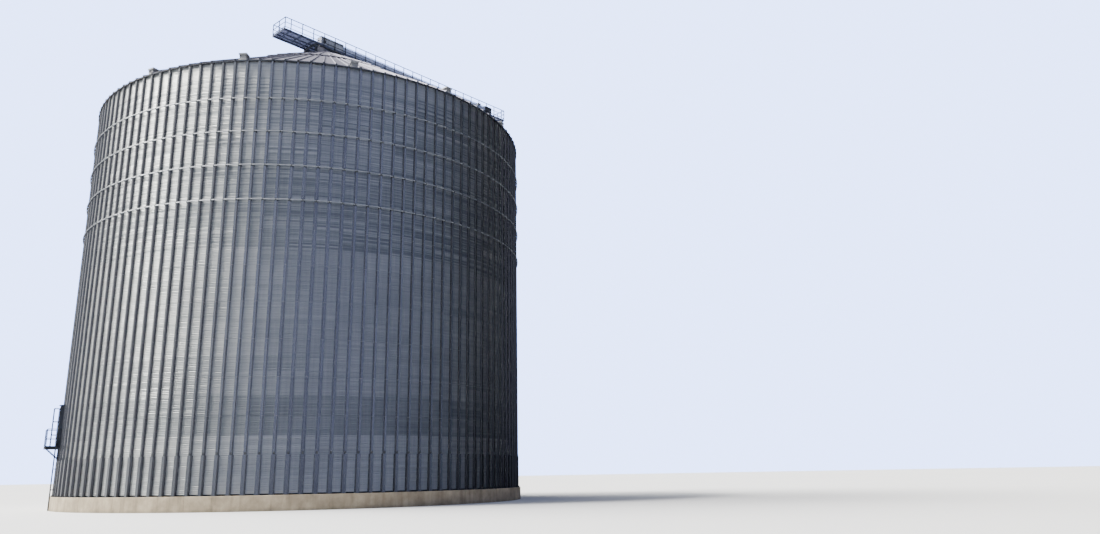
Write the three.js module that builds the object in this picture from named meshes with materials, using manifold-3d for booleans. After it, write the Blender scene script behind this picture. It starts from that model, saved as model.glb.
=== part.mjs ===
// A round grain silo of corrugated galvanised steel on a concrete ring, with a gallery and its
// conveyor over the roof and an access platform at one side.
// Millimetres, +Z up. The origin is on the silo's axis at ground level, and the gallery runs along X,
// with its long end towards +X.
import * as THREE from "three";
import { mergeVertices } from "three/addons/utils/BufferGeometryUtils.js";
import Module from "manifold-3d";

const wasm = await Module();
wasm.setup();

// What every piece keeps from the piece that it touches
const GAP = 0.3;

// Round the silo: one stiffener at each panel edge, sector edges at the middle of a panel
const PANEL_COUNT = 128;
const SECTOR_COUNT = 8;
const FIRST_SECTOR_PANEL = 3;
const RING_SEGMENTS = 64;
const PANELS_PER_SECTOR = PANEL_COUNT / SECTOR_COUNT;
const PANEL_ANGLE = (2 * Math.PI) / PANEL_COUNT;
const HALF_PANEL = PANEL_ANGLE / 2;
const RING_HALF = Math.PI / RING_SEGMENTS;

// Foundation
const FOUNDATION_HEIGHT = 865;
const FOUNDATION_INNER = 15700;
const FOUNDATION_OUTER = 16330;
const SLAB_THICKNESS = 250;
const BASE_RING_INNER = 15940;
const BASE_RING_OUTER = 16028;
const BASE_RING_HEIGHT = 160;

// Wall: sheets 44 inches high, whose waves lie within the wall's thickness
const COURSE_HEIGHT = 1118;
const COURSE_COUNT = 24;
const WALL_OUTER = 16052;
const WALL_THICKNESS = 15;
const SHEET_CLEARANCE = 90;
const RIM_Z = FOUNDATION_HEIGHT + COURSE_COUNT * COURSE_HEIGHT;

// Stiffeners: a heavy hat on the bottom courses and a lighter one above
const STIFFENER_OUTER = 16160;
const LIGHT_HAT = { outer: STIFFENER_OUTER, base: 150, face: 105 };
const HEAVY_HAT = { outer: 16195, base: 230, face: 180 };
const HEAVY_COURSES = 2;
const HAT_OVERLAP = 60;
const HAT_ROOT = 8;

// Wind rings
const WIND_RING_COUNT = 4;
const WIND_RING_SIZE = 70;
const WIND_RING_FIRST_COURSE = 15.65;
const WIND_RING_COURSES_APART = 2;

// Roof
const ROOF_SLOPE = THREE.MathUtils.degToRad(30);
const ROOF_RISE = 100;
const ROOF_THICKNESS = 25;
const ROOF_EAVE_RADIUS = 16230;
const ROOF_TOP_RADIUS = 900;
const EAVE_RING_INNER = 15990;
const EAVE_RING_OUTER = 16150;

// Roof cap at the peak, and the collar in it that the conveyor's spout enters
const CAP_SEGMENTS = 32;
const CAP_RADIUS = 1000;
const CAP_RIM = 50;
const CAP_LIFT = 30;
const CAP_THICKNESS = 15;
const SPOUT_X = -450;
const COLLAR_OUTER = 320;
const COLLAR_INNER = 290;

// Eave vents: one each nine panels, counted from the panel at bearing 0
const VENT_FIRST_PANEL = 69;
const VENT_PANELS_APART = 9;
const VENT_COUNT = 14;
const VENT_RADIUS = 15750;
const VENT_NECK = 340;
const VENT_HOOD = 520;
const VENT_HOOD_HEIGHT = 170;
const VENT_HEIGHT = 430;

// Gallery
const GALLERY_START = -4230;
const GALLERY_END = 21050;
const GALLERY_NEAR = -420;
const GALLERY_FAR = 1365;
const GALLERY_BOTTOM = 37250;
const SIDE_BEAM_HEIGHT = 160;
const SIDE_BEAM_WIDTH = 60;
const STRINGER_HEIGHT = 120;
const STRINGERS_Y = [390, 880];
const CROSS_MEMBER_HEIGHT = 100;
const DECK_THICKNESS = 30;
const DECK_TOP = GALLERY_BOTTOM + SIDE_BEAM_HEIGHT + DECK_THICKNESS;
const RAIL_HEIGHT = 1000;
const FIRST_POST = -3650;
const POST_PITCH = 1056;
const POST_COUNT = 24;
const POST_SIZE = 42;
const POST_FOOT = 140;
const RAIL_LEVELS = [1, 0.55, 0.14];
const RAIL_SIZES = [42, 30, 30];

// Conveyor on the gallery
const TROUGH_HALF_WIDTH = 305;
const TROUGH_HEIGHT = 560;
const TROUGH_FLANGE = 28;
const TROUGH_FLANGE_PITCH = 2112;
const DRIVE_START = -700;
const DRIVE_END = 1500;
const TROUGH_END = 18480;
const TAIL_END = 19350;
const BOX_HALF_WIDTH = 335;
const BOX_HEIGHT = 740;
const SHAFT_X = -250;
const SHAFT_Z = 430;
const SHAFT_RADIUS = 75;
const SHAFT_END = 45;
const INLET_X = 17800;
const INLET_SIZE = 360;
const INLET_HEIGHT = 260;
const INLET_LIP = 40;
const INLET_LIP_HEIGHT = 25;
const SPOUT_RADIUS = 240;
const SPOUT_BOTTOM = 36900;
const SPOUT_HOLE = 560;

// Frames between the roof and the gallery, whose legs spread towards the roof
const TRESTLE_LEG = 110;
const TRESTLE_BRACE = 70;
const TRESTLE_SPREAD = 1100;
const TRESTLE_FOOT_DEPTH = 1000;
const TRESTLE_CLEARANCE = 500;
const TRESTLE_TOP = GALLERY_BOTTOM - GAP;
const TRESTLE_MIDDLE = (GALLERY_NEAR + GALLERY_FAR) / 2;
const TRESTLE_TOP_HALF = (GALLERY_FAR - GALLERY_NEAR - SIDE_BEAM_WIDTH) / 2;
const PEAK_FRAME = { start: -1250, end: 1160 };
const ROOF_TRESTLE = { x: 8000, levels: 2 };
const EAVE_TRESTLE = { x: 15500, levels: 3 };
const KNEE_X = 19600;
const KNEE_DROP = 3400;

// Access platform, ladder and wall door, centred on one wall panel
const PLATFORM_PANEL = 59;
const PLATFORM_Z = 3920;
const PLATFORM_DEPTH = 820;
const PLATFORM_WIDTH = 1700;
const PLATFORM_THICKNESS = 60;
const PLATFORM_RAIL_HEIGHT = 1200;
const PLATFORM_RAIL_SIZE = 34;
const BRACKET_DROP = 730;
const BRACKET_SIZE = 60;
const DOOR_WIDTH = 620;
const DOOR_HEIGHT = 2780;
const DOOR_FACE = 16340;
const DOOR_PANELS = { edge: 70, proud: 25, spans: [[80, 1250], [1330, 2680]] };
const DOOR_HOOD = { back: 120, front: 90, side: 60, below: 40, above: 20 };
const LADDER_WIDTH = 400;
const LADDER_STANDOFF = 200;
const LADDER_STILE = 45;
const LADDER_LUGS = { heights: [1300, 2600], width: 30, height: 40 };
const RUNG_PITCH = 300;
const RUNG_SIZE = 28;
const GUARD_HEIGHT = 2550;
const GUARD_DEPTH = 340;
const GUARD_POST = 35;
const GUARD_RAIL = 30;
const GUARD_RAIL_PITCH = 850;

const UP = new THREE.Vector3(0, 0, 1);

const galvanised = new THREE.MeshStandardMaterial({ color: 0xaeb4b8, roughness: 0.45, metalness: 0.7 });
const wallSheet = new THREE.MeshStandardMaterial({ color: 0xa3aaad, roughness: 0.5, metalness: 0.7 });
const roofSheet = new THREE.MeshStandardMaterial({ color: 0xc9c3bf, roughness: 0.55, metalness: 0.5 });
const darkSteel = new THREE.MeshStandardMaterial({ color: 0x4a5058, roughness: 0.6, metalness: 0.6 });
const conveyorSteel = new THREE.MeshStandardMaterial({ color: 0x7f8ba3, roughness: 0.5, metalness: 0.5 });
const concrete = new THREE.MeshStandardMaterial({ color: 0xb0a898, roughness: 0.95, metalness: 0 });

// Height of the roof's outer surface at a radius from the axis
function roofZ(radius) {
  return RIM_Z + ROOF_RISE + (STIFFENER_OUTER - radius) * Math.tan(ROOF_SLOPE);
}

function solidOf(geometry) {
  const bare = geometry.index ? geometry.clone() : geometry;
  bare.deleteAttribute("normal");
  bare.deleteAttribute("uv");
  const merged = mergeVertices(bare, 1e-3);
  const mesh = new wasm.Mesh({
    numProp: 3,
    vertProperties: merged.attributes.position.array,
    triVerts: new Uint32Array(merged.index.array),
  });
  return new wasm.Manifold(mesh);
}

function geometryOf(solid) {
  const mesh = solid.getMesh();
  const geometry = new THREE.BufferGeometry();
  geometry.setAttribute("position", new THREE.BufferAttribute(mesh.vertProperties, 3));
  geometry.setIndex(new THREE.BufferAttribute(mesh.triVerts, 1));
  geometry.computeVertexNormals();
  return geometry;
}

function fuse(geometries) {
  return geometryOf(wasm.Manifold.union(geometries.map(solidOf)));
}

function cut(geometry, tool) {
  return geometryOf(solidOf(geometry).subtract(solidOf(tool)));
}

// A block given by its lowest and highest corner
function block(low, high) {
  const geometry = new THREE.BoxGeometry(high[0] - low[0], high[1] - low[1], high[2] - low[2]);
  geometry.translate((low[0] + high[0]) / 2, (low[1] + high[1]) / 2, (low[2] + high[2]) / 2);
  return geometry;
}

// A straight bar of rectangular section between two points
function bar(from, to, width, height = width) {
  const start = new THREE.Vector3(...from);
  const end = new THREE.Vector3(...to);
  const along = new THREE.Vector3().subVectors(end, start);
  const geometry = new THREE.BoxGeometry(along.length(), width, height);
  const x = along.normalize();
  const upright = Math.abs(x.z) > 1 - 1e-9;
  const y = upright ? new THREE.Vector3(0, 1, 0) : new THREE.Vector3().crossVectors(UP, x).normalize();
  const z = new THREE.Vector3().crossVectors(x, y);
  const middle = start.add(end).multiplyScalar(0.5);
  geometry.applyMatrix4(new THREE.Matrix4().makeBasis(x, y, z).setPosition(middle));
  return geometry;
}

// A ring or disc turned about the silo's axis from a closed profile of [radius, z] points, whose
// first corner lies at a stiffener
function turned(profile, segments) {
  const points = [...profile, profile[0]].map(([radius, z]) => new THREE.Vector2(radius, z));
  const geometry = new THREE.LatheGeometry(points, segments, Math.PI / 2 + HALF_PANEL);
  return geometry.rotateX(Math.PI / 2);
}

// An upright round bar or disc
function column([x, y], radius, bottom, top, sides = 16) {
  const geometry = new THREE.CylinderGeometry(radius, radius, top - bottom, sides);
  return geometry.rotateX(Math.PI / 2).translate(x, y, (bottom + top) / 2);
}

// An upright prism over an outline of [x, y] points
function prism(outline, bottom, top) {
  const shape = new THREE.Shape(outline.map(([x, y]) => new THREE.Vector2(x, y)));
  const geometry = new THREE.ExtrudeGeometry(shape, { depth: top - bottom, bevelEnabled: false });
  return geometry.translate(0, 0, bottom);
}

// Turns a point given along the radius and across it by an angle about the axis
function turnedPoint([along, across], angle) {
  return [
    along * Math.cos(angle) - across * Math.sin(angle),
    along * Math.sin(angle) + across * Math.cos(angle),
  ];
}

// One sector of the wall or roof runs from bearing 0 to 45 degrees and is turned into place

// Corners of a sector's many-sided arc: the two ends, at mid panel, and one corner at each stiffener
function sectorArc(radius) {
  const endRadius = radius * Math.cos(HALF_PANEL);
  const start = [endRadius, GAP / 2];
  const end = turnedPoint([endRadius, -GAP / 2], PANELS_PER_SECTOR * PANEL_ANGLE);
  const corners = [];
  for (let panel = 0; panel < PANELS_PER_SECTOR; panel++) {
    corners.push(turnedPoint([radius, 0], (panel + 0.5) * PANEL_ANGLE));
  }
  return [start, ...corners, end];
}

function hatPrism(hat, panel, bottom, top) {
  const outline = [
    [WALL_OUTER - HAT_ROOT, hat.base / 2],
    [WALL_OUTER - HAT_ROOT, -hat.base / 2],
    [hat.outer, -hat.face / 2],
    [hat.outer, hat.face / 2],
  ];
  const angle = (panel + 0.5) * PANEL_ANGLE;
  const placed = outline.map((point) => turnedPoint(point, angle)).reverse();
  return prism(placed, bottom, top);
}

function wallSector() {
  const feet = FOUNDATION_HEIGHT + GAP;
  const splice = FOUNDATION_HEIGHT + HEAVY_COURSES * COURSE_HEIGHT;
  const outline = [...sectorArc(WALL_OUTER), ...sectorArc(WALL_OUTER - WALL_THICKNESS).reverse()];
  const pieces = [prism(outline, FOUNDATION_HEIGHT + SHEET_CLEARANCE, RIM_Z)];
  for (let panel = 0; panel < PANELS_PER_SECTOR; panel++) {
    pieces.push(hatPrism(HEAVY_HAT, panel, feet, splice));
    pieces.push(hatPrism(LIGHT_HAT, panel, splice - HAT_OVERLAP, RIM_Z));
  }
  return fuse(pieces);
}

// A slab between two arcs of corners, lofted from the eave up to the roof's top
function roofSlab() {
  const levels = [ROOF_EAVE_RADIUS, ROOF_TOP_RADIUS].map((radius) => {
    const arc = sectorArc(radius);
    const upper = arc.map(([x, y]) => [x, y, roofZ(radius)]);
    const lower = arc.map(([x, y]) => [x, y, roofZ(radius) - ROOF_THICKNESS]);
    return [upper, lower];
  });
  const [[eaveUpper, eaveLower], [topUpper, topLower]] = levels;
  const triangles = [];
  const quad = (a, b, c, d) => triangles.push(...a, ...b, ...c, ...a, ...c, ...d);
  const last = eaveUpper.length - 1;
  for (let i = 0; i < last; i++) {
    quad(eaveUpper[i], eaveUpper[i + 1], topUpper[i + 1], topUpper[i]);
    quad(eaveLower[i + 1], eaveLower[i], topLower[i], topLower[i + 1]);
    quad(eaveLower[i], eaveLower[i + 1], eaveUpper[i + 1], eaveUpper[i]);
    quad(topLower[i + 1], topLower[i], topUpper[i], topUpper[i + 1]);
  }
  quad(eaveLower[0], eaveUpper[0], topUpper[0], topLower[0]);
  quad(eaveUpper[last], eaveLower[last], topLower[last], topUpper[last]);
  const geometry = new THREE.BufferGeometry();
  return geometry.setAttribute("position", new THREE.Float32BufferAttribute(triangles, 3));
}

// A boxy vent with a hood, on the panel counted from the sector's edge
function eaveVent(panel) {
  const foot = roofZ(VENT_RADIUS) - ROOF_THICKNESS / 2 - VENT_NECK / 4;
  const top = roofZ(VENT_RADIUS) + VENT_HEIGHT;
  const half = VENT_NECK / 2;
  const hood = VENT_HOOD / 2;
  const neck = block([VENT_RADIUS - half, -half, foot], [VENT_RADIUS + half, half, top]);
  const cover = block(
    [VENT_RADIUS - hood, -hood, top - VENT_HOOD_HEIGHT],
    [VENT_RADIUS + hood, hood, top],
  );
  return [neck, cover].map((piece) => piece.rotateZ(panel * PANEL_ANGLE));
}

// Everything under the roof's lower surface, to trim what must not reach through it
function underRoof(clearance) {
  const drop = clearance / Math.cos(ROOF_SLOPE);
  const top = [0, roofZ(0) + drop];
  const eave = [ROOF_EAVE_RADIUS + 500, roofZ(ROOF_EAVE_RADIUS + 500) + drop];
  const profile = [[0, 0], [eave[0], 0], eave, top];
  return turned(profile, PANEL_COUNT);
}

function roofSector(vents) {
  if (!vents.length) return roofSlab();
  const inside = underRoof(-ROOF_THICKNESS / 2);
  const trimmed = vents.flatMap((panel) => eaveVent(panel)).map((piece) => cut(piece, inside));
  return fuse([roofSlab(), ...trimmed]);
}

// Panels of each sector that carry a vent, counted from the sector's edge
function ventPanels(sector) {
  const panels = [];
  for (let i = 0; i < VENT_COUNT; i++) {
    const panel = VENT_FIRST_PANEL + i * VENT_PANELS_APART + PANEL_COUNT - FIRST_SECTOR_PANEL;
    const local = (panel % PANEL_COUNT) - sector * PANELS_PER_SECTOR;
    if (local >= 0 && local < PANELS_PER_SECTOR) panels.push(local);
  }
  return panels;
}

// A low cone over the open peak, with an upright collar through it beside the axis
function roofCap() {
  const side = Math.cos(Math.PI / CAP_SEGMENTS);
  const seat = (radius) => roofZ(radius * side) + GAP;
  const lower = (radius) => roofZ(radius * side) + CAP_LIFT;
  const upper = (radius) => lower(radius) + CAP_THICKNESS;
  const inner = CAP_RADIUS - CAP_RIM;
  const profile = [
    [CAP_RADIUS, seat(CAP_RADIUS)],
    [CAP_RADIUS, upper(CAP_RADIUS)],
    [0, upper(0)],
    [0, lower(0)],
    [inner, lower(inner)],
    [inner, seat(inner)],
  ];
  const collarBottom = lower(COLLAR_OUTER - SPOUT_X);
  const collarTop = GALLERY_BOTTOM - GAP;
  const collar = column([SPOUT_X, 0], COLLAR_OUTER, collarBottom, collarTop, CAP_SEGMENTS);
  const hole = column([SPOUT_X, 0], COLLAR_INNER, RIM_Z, DECK_TOP, CAP_SEGMENTS);
  return cut(fuse([turned(profile, CAP_SEGMENTS), collar]), hole);
}

// A square hoop on the stiffeners' faces
function windRing(index) {
  const inner = (STIFFENER_OUTER + GAP) / Math.cos(RING_HALF);
  const outer = inner + WIND_RING_SIZE;
  const course = WIND_RING_FIRST_COURSE + index * WIND_RING_COURSES_APART;
  const middle = FOUNDATION_HEIGHT + course * COURSE_HEIGHT;
  const low = middle - WIND_RING_SIZE / 2;
  const high = middle + WIND_RING_SIZE / 2;
  return turned([[outer, low], [outer, high], [inner, high], [inner, low]], RING_SEGMENTS);
}

function eaveRing() {
  const bottom = RIM_Z + GAP;
  const under = (radius) => roofZ(radius) - ROOF_THICKNESS - 2 * GAP;
  const profile = [
    [EAVE_RING_OUTER, bottom],
    [EAVE_RING_OUTER, under(EAVE_RING_OUTER)],
    [EAVE_RING_INNER, under(EAVE_RING_INNER)],
    [EAVE_RING_INNER, bottom],
  ];
  return turned(profile, RING_SEGMENTS);
}

function squareRing(inner, outer, bottom, top) {
  return turned([[outer, bottom], [outer, top], [inner, top], [inner, bottom]], RING_SEGMENTS);
}

function floorSlab() {
  const edge = FOUNDATION_INNER - 2 * GAP;
  return turned([[0, 0], [edge, 0], [edge, SLAB_THICKNESS], [0, SLAB_THICKNESS]], RING_SEGMENTS);
}

// Where the gallery's posts and cross members stand, from its start to its end
function postPlaces() {
  const inner = Array.from({ length: POST_COUNT }, (_, i) => FIRST_POST + i * POST_PITCH);
  return [GALLERY_START + POST_SIZE / 2, ...inner, GALLERY_END - POST_SIZE / 2];
}

function galleryFloor() {
  const beamTop = GALLERY_BOTTOM + SIDE_BEAM_HEIGHT;
  const lap = DECK_THICKNESS / 2;
  const pieces = [block([GALLERY_START, GALLERY_NEAR, beamTop], [GALLERY_END, GALLERY_FAR, DECK_TOP])];
  for (const y of [GALLERY_NEAR, GALLERY_FAR - SIDE_BEAM_WIDTH]) {
    pieces.push(
      block([GALLERY_START, y, GALLERY_BOTTOM], [GALLERY_END, y + SIDE_BEAM_WIDTH, beamTop + lap]),
    );
  }
  for (const y of STRINGERS_Y) {
    const low = GALLERY_BOTTOM + SIDE_BEAM_HEIGHT - STRINGER_HEIGHT;
    const half = SIDE_BEAM_WIDTH / 2;
    pieces.push(block([GALLERY_START, y - half, low], [GALLERY_END, y + half, beamTop + lap]));
  }
  for (const x of postPlaces()) {
    const low = beamTop - CROSS_MEMBER_HEIGHT;
    const half = POST_SIZE / 2;
    pieces.push(block([x - half, GALLERY_NEAR + 10, low], [x + half, GALLERY_FAR - 10, beamTop + lap]));
  }
  const half = SPOUT_HOLE / 2;
  const past = 50;
  const hole = block(
    [SPOUT_X - half, -half, GALLERY_BOTTOM - past],
    [SPOUT_X + half, half, DECK_TOP + past],
  );
  return cut(fuse(pieces), hole);
}

// Posts outside the side beam with three rails
function sideRailing(y) {
  const pieces = [];
  for (const x of postPlaces()) {
    pieces.push(bar([x, y, DECK_TOP - POST_FOOT], [x, y, DECK_TOP + RAIL_HEIGHT], POST_SIZE));
  }
  RAIL_LEVELS.forEach((level, i) => {
    const z = DECK_TOP + RAIL_HEIGHT * level - RAIL_SIZES[i] / 2;
    pieces.push(bar([GALLERY_START, y, z], [GALLERY_END, y, z], RAIL_SIZES[i]));
  });
  return fuse(pieces);
}

// Rails across the gallery's short end, between the two side railings
function endRailing(x) {
  const low = GALLERY_NEAR + GAP;
  const high = GALLERY_FAR - GAP;
  const middle = (low + high) / 2;
  const foot = DECK_TOP + GAP;
  const pieces = [bar([x, middle, foot], [x, middle, DECK_TOP + RAIL_HEIGHT], POST_SIZE)];
  RAIL_LEVELS.forEach((level, i) => {
    const z = DECK_TOP + RAIL_HEIGHT * level - RAIL_SIZES[i] / 2;
    pieces.push(bar([x, low, z], [x, high, z], RAIL_SIZES[i]));
  });
  return fuse(pieces);
}

function conveyorTrough() {
  const low = DECK_TOP + GAP;
  const high = low + TROUGH_HEIGHT;
  const wide = TROUGH_HALF_WIDTH;
  const start = DRIVE_END + GAP;
  const pieces = [block([start, -wide, low], [TROUGH_END - GAP, wide, high])];
  const flange = wide + TROUGH_FLANGE;
  for (let x = start + TROUGH_FLANGE_PITCH; x < TROUGH_END; x += TROUGH_FLANGE_PITCH) {
    pieces.push(block([x, -flange, low], [x + TROUGH_FLANGE, flange, high + TROUGH_FLANGE]));
  }
  return fuse(pieces);
}

function endBox(start, end) {
  const low = DECK_TOP + GAP;
  return block([start, -BOX_HALF_WIDTH, low], [end, BOX_HALF_WIDTH, low + BOX_HEIGHT]);
}

// The drive end with its shaft's bearings at both sides
function driveBox() {
  const length = 2 * (BOX_HALF_WIDTH + SHAFT_END);
  const shaft = new THREE.CylinderGeometry(SHAFT_RADIUS, SHAFT_RADIUS, length, 16);
  shaft.translate(SHAFT_X, 0, DECK_TOP + SHAFT_Z);
  return fuse([endBox(DRIVE_START, DRIVE_END), shaft]);
}

function conveyorInlet() {
  const low = DECK_TOP + 2 * GAP + TROUGH_HEIGHT;
  const half = INLET_SIZE / 2;
  const lip = half + INLET_LIP;
  const top = low + INLET_HEIGHT;
  return fuse([
    block([INLET_X - half, -half, low], [INLET_X + half, half, top]),
    block([INLET_X - lip, -lip, top - INLET_LIP_HEIGHT], [INLET_X + lip, lip, top]),
  ]);
}

function conveyorSpout() {
  return column([SPOUT_X, 0], SPOUT_RADIUS, SPOUT_BOTTOM, DECK_TOP);
}

// The middle of a leg at a height, for the frame across the gallery at x
function legPoint(x, side, z) {
  const head = TRESTLE_TOP - TRESTLE_LEG;
  const foot = roofZ(Math.abs(x)) - TRESTLE_FOOT_DEPTH;
  const spread = ((head - z) / (head - foot)) * (TRESTLE_SPREAD - TRESTLE_TOP_HALF);
  return [x, TRESTLE_MIDDLE + side * (TRESTLE_TOP_HALF + spread), z];
}

// Two legs and a head beam across the gallery at x
function portal(x) {
  const head = TRESTLE_TOP - TRESTLE_LEG;
  const foot = roofZ(Math.abs(x)) - TRESTLE_FOOT_DEPTH;
  const half = TRESTLE_LEG / 2;
  const reach = TRESTLE_TOP_HALF + half;
  const beam = block(
    [x - half, TRESTLE_MIDDLE - reach, head],
    [x + half, TRESTLE_MIDDLE + reach, TRESTLE_TOP],
  );
  const legs = [-1, 1].map((side) => bar(legPoint(x, side, foot), legPoint(x, side, head), TRESTLE_LEG));
  return [beam, ...legs];
}

// A braced frame across the gallery, standing on the roof
function trestle({ x, levels }) {
  const clear = roofZ(x) + TRESTLE_CLEARANCE;
  const rise = (TRESTLE_TOP - TRESTLE_LEG - clear) / levels;
  const pieces = portal(x);
  for (let i = 0; i < levels; i++) {
    const low = clear + i * rise;
    pieces.push(bar(legPoint(x, -1, low), legPoint(x, 1, low), TRESTLE_BRACE));
    pieces.push(bar(legPoint(x, -1, low), legPoint(x, 1, low + rise), TRESTLE_BRACE));
  }
  return cut(fuse(pieces), underRoof(GAP));
}

// A short table of two portals that carries the gallery at the peak
function peakFrame() {
  const { start, end } = PEAK_FRAME;
  const half = TRESTLE_LEG / 2;
  const rails = [-1, 1].map((side) => {
    const y = TRESTLE_MIDDLE + side * TRESTLE_TOP_HALF;
    return block([start, y - half, TRESTLE_TOP - TRESTLE_LEG], [end, y + half, TRESTLE_TOP]);
  });
  return cut(fuse([...portal(start), ...portal(end), ...rails]), underRoof(GAP));
}

// A brace from the eave trestle's leg out to the gallery's side beam, cut flush at both ends
function kneeBrace(side) {
  const past = 200;
  const leg = legPoint(EAVE_TRESTLE.x, side, TRESTLE_TOP - KNEE_DROP);
  const seat = [KNEE_X, TRESTLE_MIDDLE + side * TRESTLE_TOP_HALF, TRESTLE_TOP];
  const along = new THREE.Vector3(...seat).sub(new THREE.Vector3(...leg)).setLength(past);
  const end = new THREE.Vector3(...seat).add(along).toArray();
  const legFace = EAVE_TRESTLE.x + TRESTLE_LEG / 2 + GAP;
  const [near, far] = [GALLERY_NEAR - past, GALLERY_FAR + past];
  const legSide = block([legFace - KNEE_DROP, near, RIM_Z], [legFace, far, TRESTLE_TOP]);
  const gallerySide = block([legFace, near, TRESTLE_TOP], [GALLERY_END, far, TRESTLE_TOP + KNEE_DROP]);
  return cut(cut(bar(leg, end, TRESTLE_BRACE), legSide), gallerySide);
}

// Access platform, in a frame with X along the radius through the middle of its wall panel

// How far the stiffeners beside the platform's panel stand out in that frame, with the usual gap
function hatSeat(hat) {
  return hat.outer * Math.cos(HALF_PANEL) + (hat.face / 2) * Math.sin(HALF_PANEL) + GAP;
}

const PLATFORM_SEAT = hatSeat(LIGHT_HAT);
const STIFFENER_Y = STIFFENER_OUTER * Math.sin(HALF_PANEL);

// Everything on the wall's side of a seat, to trim what is bolted there
function wallSide(seat) {
  return block([0, -PLATFORM_WIDTH, 0], [seat, PLATFORM_WIDTH, PLATFORM_Z + PLATFORM_THICKNESS]);
}

function platformDeck() {
  const inner = PLATFORM_SEAT;
  const outer = inner + PLATFORM_DEPTH;
  const half = PLATFORM_WIDTH / 2;
  const under = PLATFORM_Z - PLATFORM_THICKNESS;
  const pieces = [block([inner, -half, under], [outer, half, PLATFORM_Z])];
  const size = BRACKET_SIZE;
  const foot = under - BRACKET_DROP;
  for (const side of [-1, 1]) {
    const y = side * STIFFENER_Y;
    pieces.push(block([inner, y - size / 2, foot], [inner + size / 2, y + size / 2, under + size / 2]));
    pieces.push(bar([inner, y, foot + size], [outer - size, y, under], size));
  }
  return cut(fuse(pieces), wallSide(inner));
}

function platformRailing() {
  const size = POST_SIZE;
  const inner = PLATFORM_SEAT + size / 2;
  const outer = PLATFORM_SEAT + PLATFORM_DEPTH - size / 2;
  const half = PLATFORM_WIDTH / 2 - size / 2;
  const foot = PLATFORM_Z + GAP;
  const top = PLATFORM_Z + PLATFORM_RAIL_HEIGHT;
  const corners = [[inner, -half], [outer, -half], [outer, half], [inner, half]];
  const pieces = [...corners, [outer, 0]].map(([x, y]) => bar([x, y, foot], [x, y, top], size));
  for (const z of [top - size / 2, PLATFORM_Z + PLATFORM_RAIL_HEIGHT / 2]) {
    for (let i = 0; i < corners.length - 1; i++) {
      pieces.push(bar([...corners[i], z], [...corners[i + 1], z], PLATFORM_RAIL_SIZE));
    }
  }
  return fuse(pieces);
}

// A ladder from the ground to the platform, on lugs at the stiffeners
function accessLadder() {
  const x = PLATFORM_SEAT + LADDER_STANDOFF;
  const half = LADDER_WIDTH / 2;
  const top = PLATFORM_Z - PLATFORM_THICKNESS - GAP;
  const pieces = [];
  for (const side of [-1, 1]) {
    const y = side * half;
    pieces.push(bar([x, y, 0], [x, y, top], LADDER_STILE));
    for (const z of LADDER_LUGS.heights) {
      const seat = [PLATFORM_SEAT, side * STIFFENER_Y, z];
      pieces.push(bar(seat, [x, y, z], LADDER_LUGS.width, LADDER_LUGS.height));
    }
  }
  for (let z = RUNG_PITCH; z < top - RUNG_PITCH / 2; z += RUNG_PITCH) {
    pieces.push(bar([x, -half, z], [x, half, z], RUNG_SIZE));
  }
  return cut(fuse(pieces), wallSide(hatSeat(HEAVY_HAT)));
}

// A tall guard frame over the platform, in front of the wall door
function guardFrame() {
  const near = DOOR_FACE + DOOR_PANELS.proud + GUARD_POST / 2;
  const far = DOOR_FACE + GUARD_DEPTH;
  const half = DOOR_WIDTH / 2;
  const foot = PLATFORM_Z + GAP;
  const top = PLATFORM_Z + GUARD_HEIGHT;
  const levels = [0, 1, 2].map((i) => top - GUARD_RAIL / 2 - i * GUARD_RAIL_PITCH);
  const pieces = [];
  for (const y of [-half, half]) {
    pieces.push(bar([near, y, foot], [near, y, top], GUARD_POST));
    pieces.push(bar([far, y, foot], [far, y, top], GUARD_POST));
    for (const z of levels) {
      pieces.push(bar([near, y, z], [far, y, z], GUARD_RAIL));
    }
  }
  for (const z of levels.slice(0, 2)) {
    pieces.push(bar([far, -half, z], [far, half, z], GUARD_RAIL));
  }
  return fuse(pieces);
}

// The wall door's housing, between the two stiffeners, with a shallow hood over it
function wallDoor() {
  const back = WALL_OUTER + GAP;
  const half = DOOR_WIDTH / 2;
  const foot = PLATFORM_Z + GAP;
  const top = PLATFORM_Z + DOOR_HEIGHT;
  const hood = DOOR_HOOD;
  const pieces = [
    block([back, -half, foot], [DOOR_FACE, half, top]),
    block(
      [back + hood.back, -half - hood.side, top - hood.below],
      [DOOR_FACE + hood.front, half + hood.side, top + hood.above],
    ),
  ];
  const { edge, proud, spans } = DOOR_PANELS;
  for (const [low, high] of spans) {
    const face = DOOR_FACE + proud;
    pieces.push(block([back, -half + edge, foot + low], [face, half - edge, foot + high]));
  }
  return fuse(pieces);
}

// The assembly

const silo = new THREE.Group();

function add(name, geometry, material, parent = silo) {
  const mesh = new THREE.Mesh(geometry, material);
  mesh.name = name;
  parent.add(mesh);
  return mesh;
}

add("foundation_ring", squareRing(FOUNDATION_INNER, FOUNDATION_OUTER, 0, FOUNDATION_HEIGHT), concrete);
add("floor_slab", floorSlab(), concrete);
const baseRingBottom = FOUNDATION_HEIGHT + GAP;
const baseRingTop = FOUNDATION_HEIGHT + BASE_RING_HEIGHT;
add("base_ring", squareRing(BASE_RING_INNER, BASE_RING_OUTER, baseRingBottom, baseRingTop), darkSteel);

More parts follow.
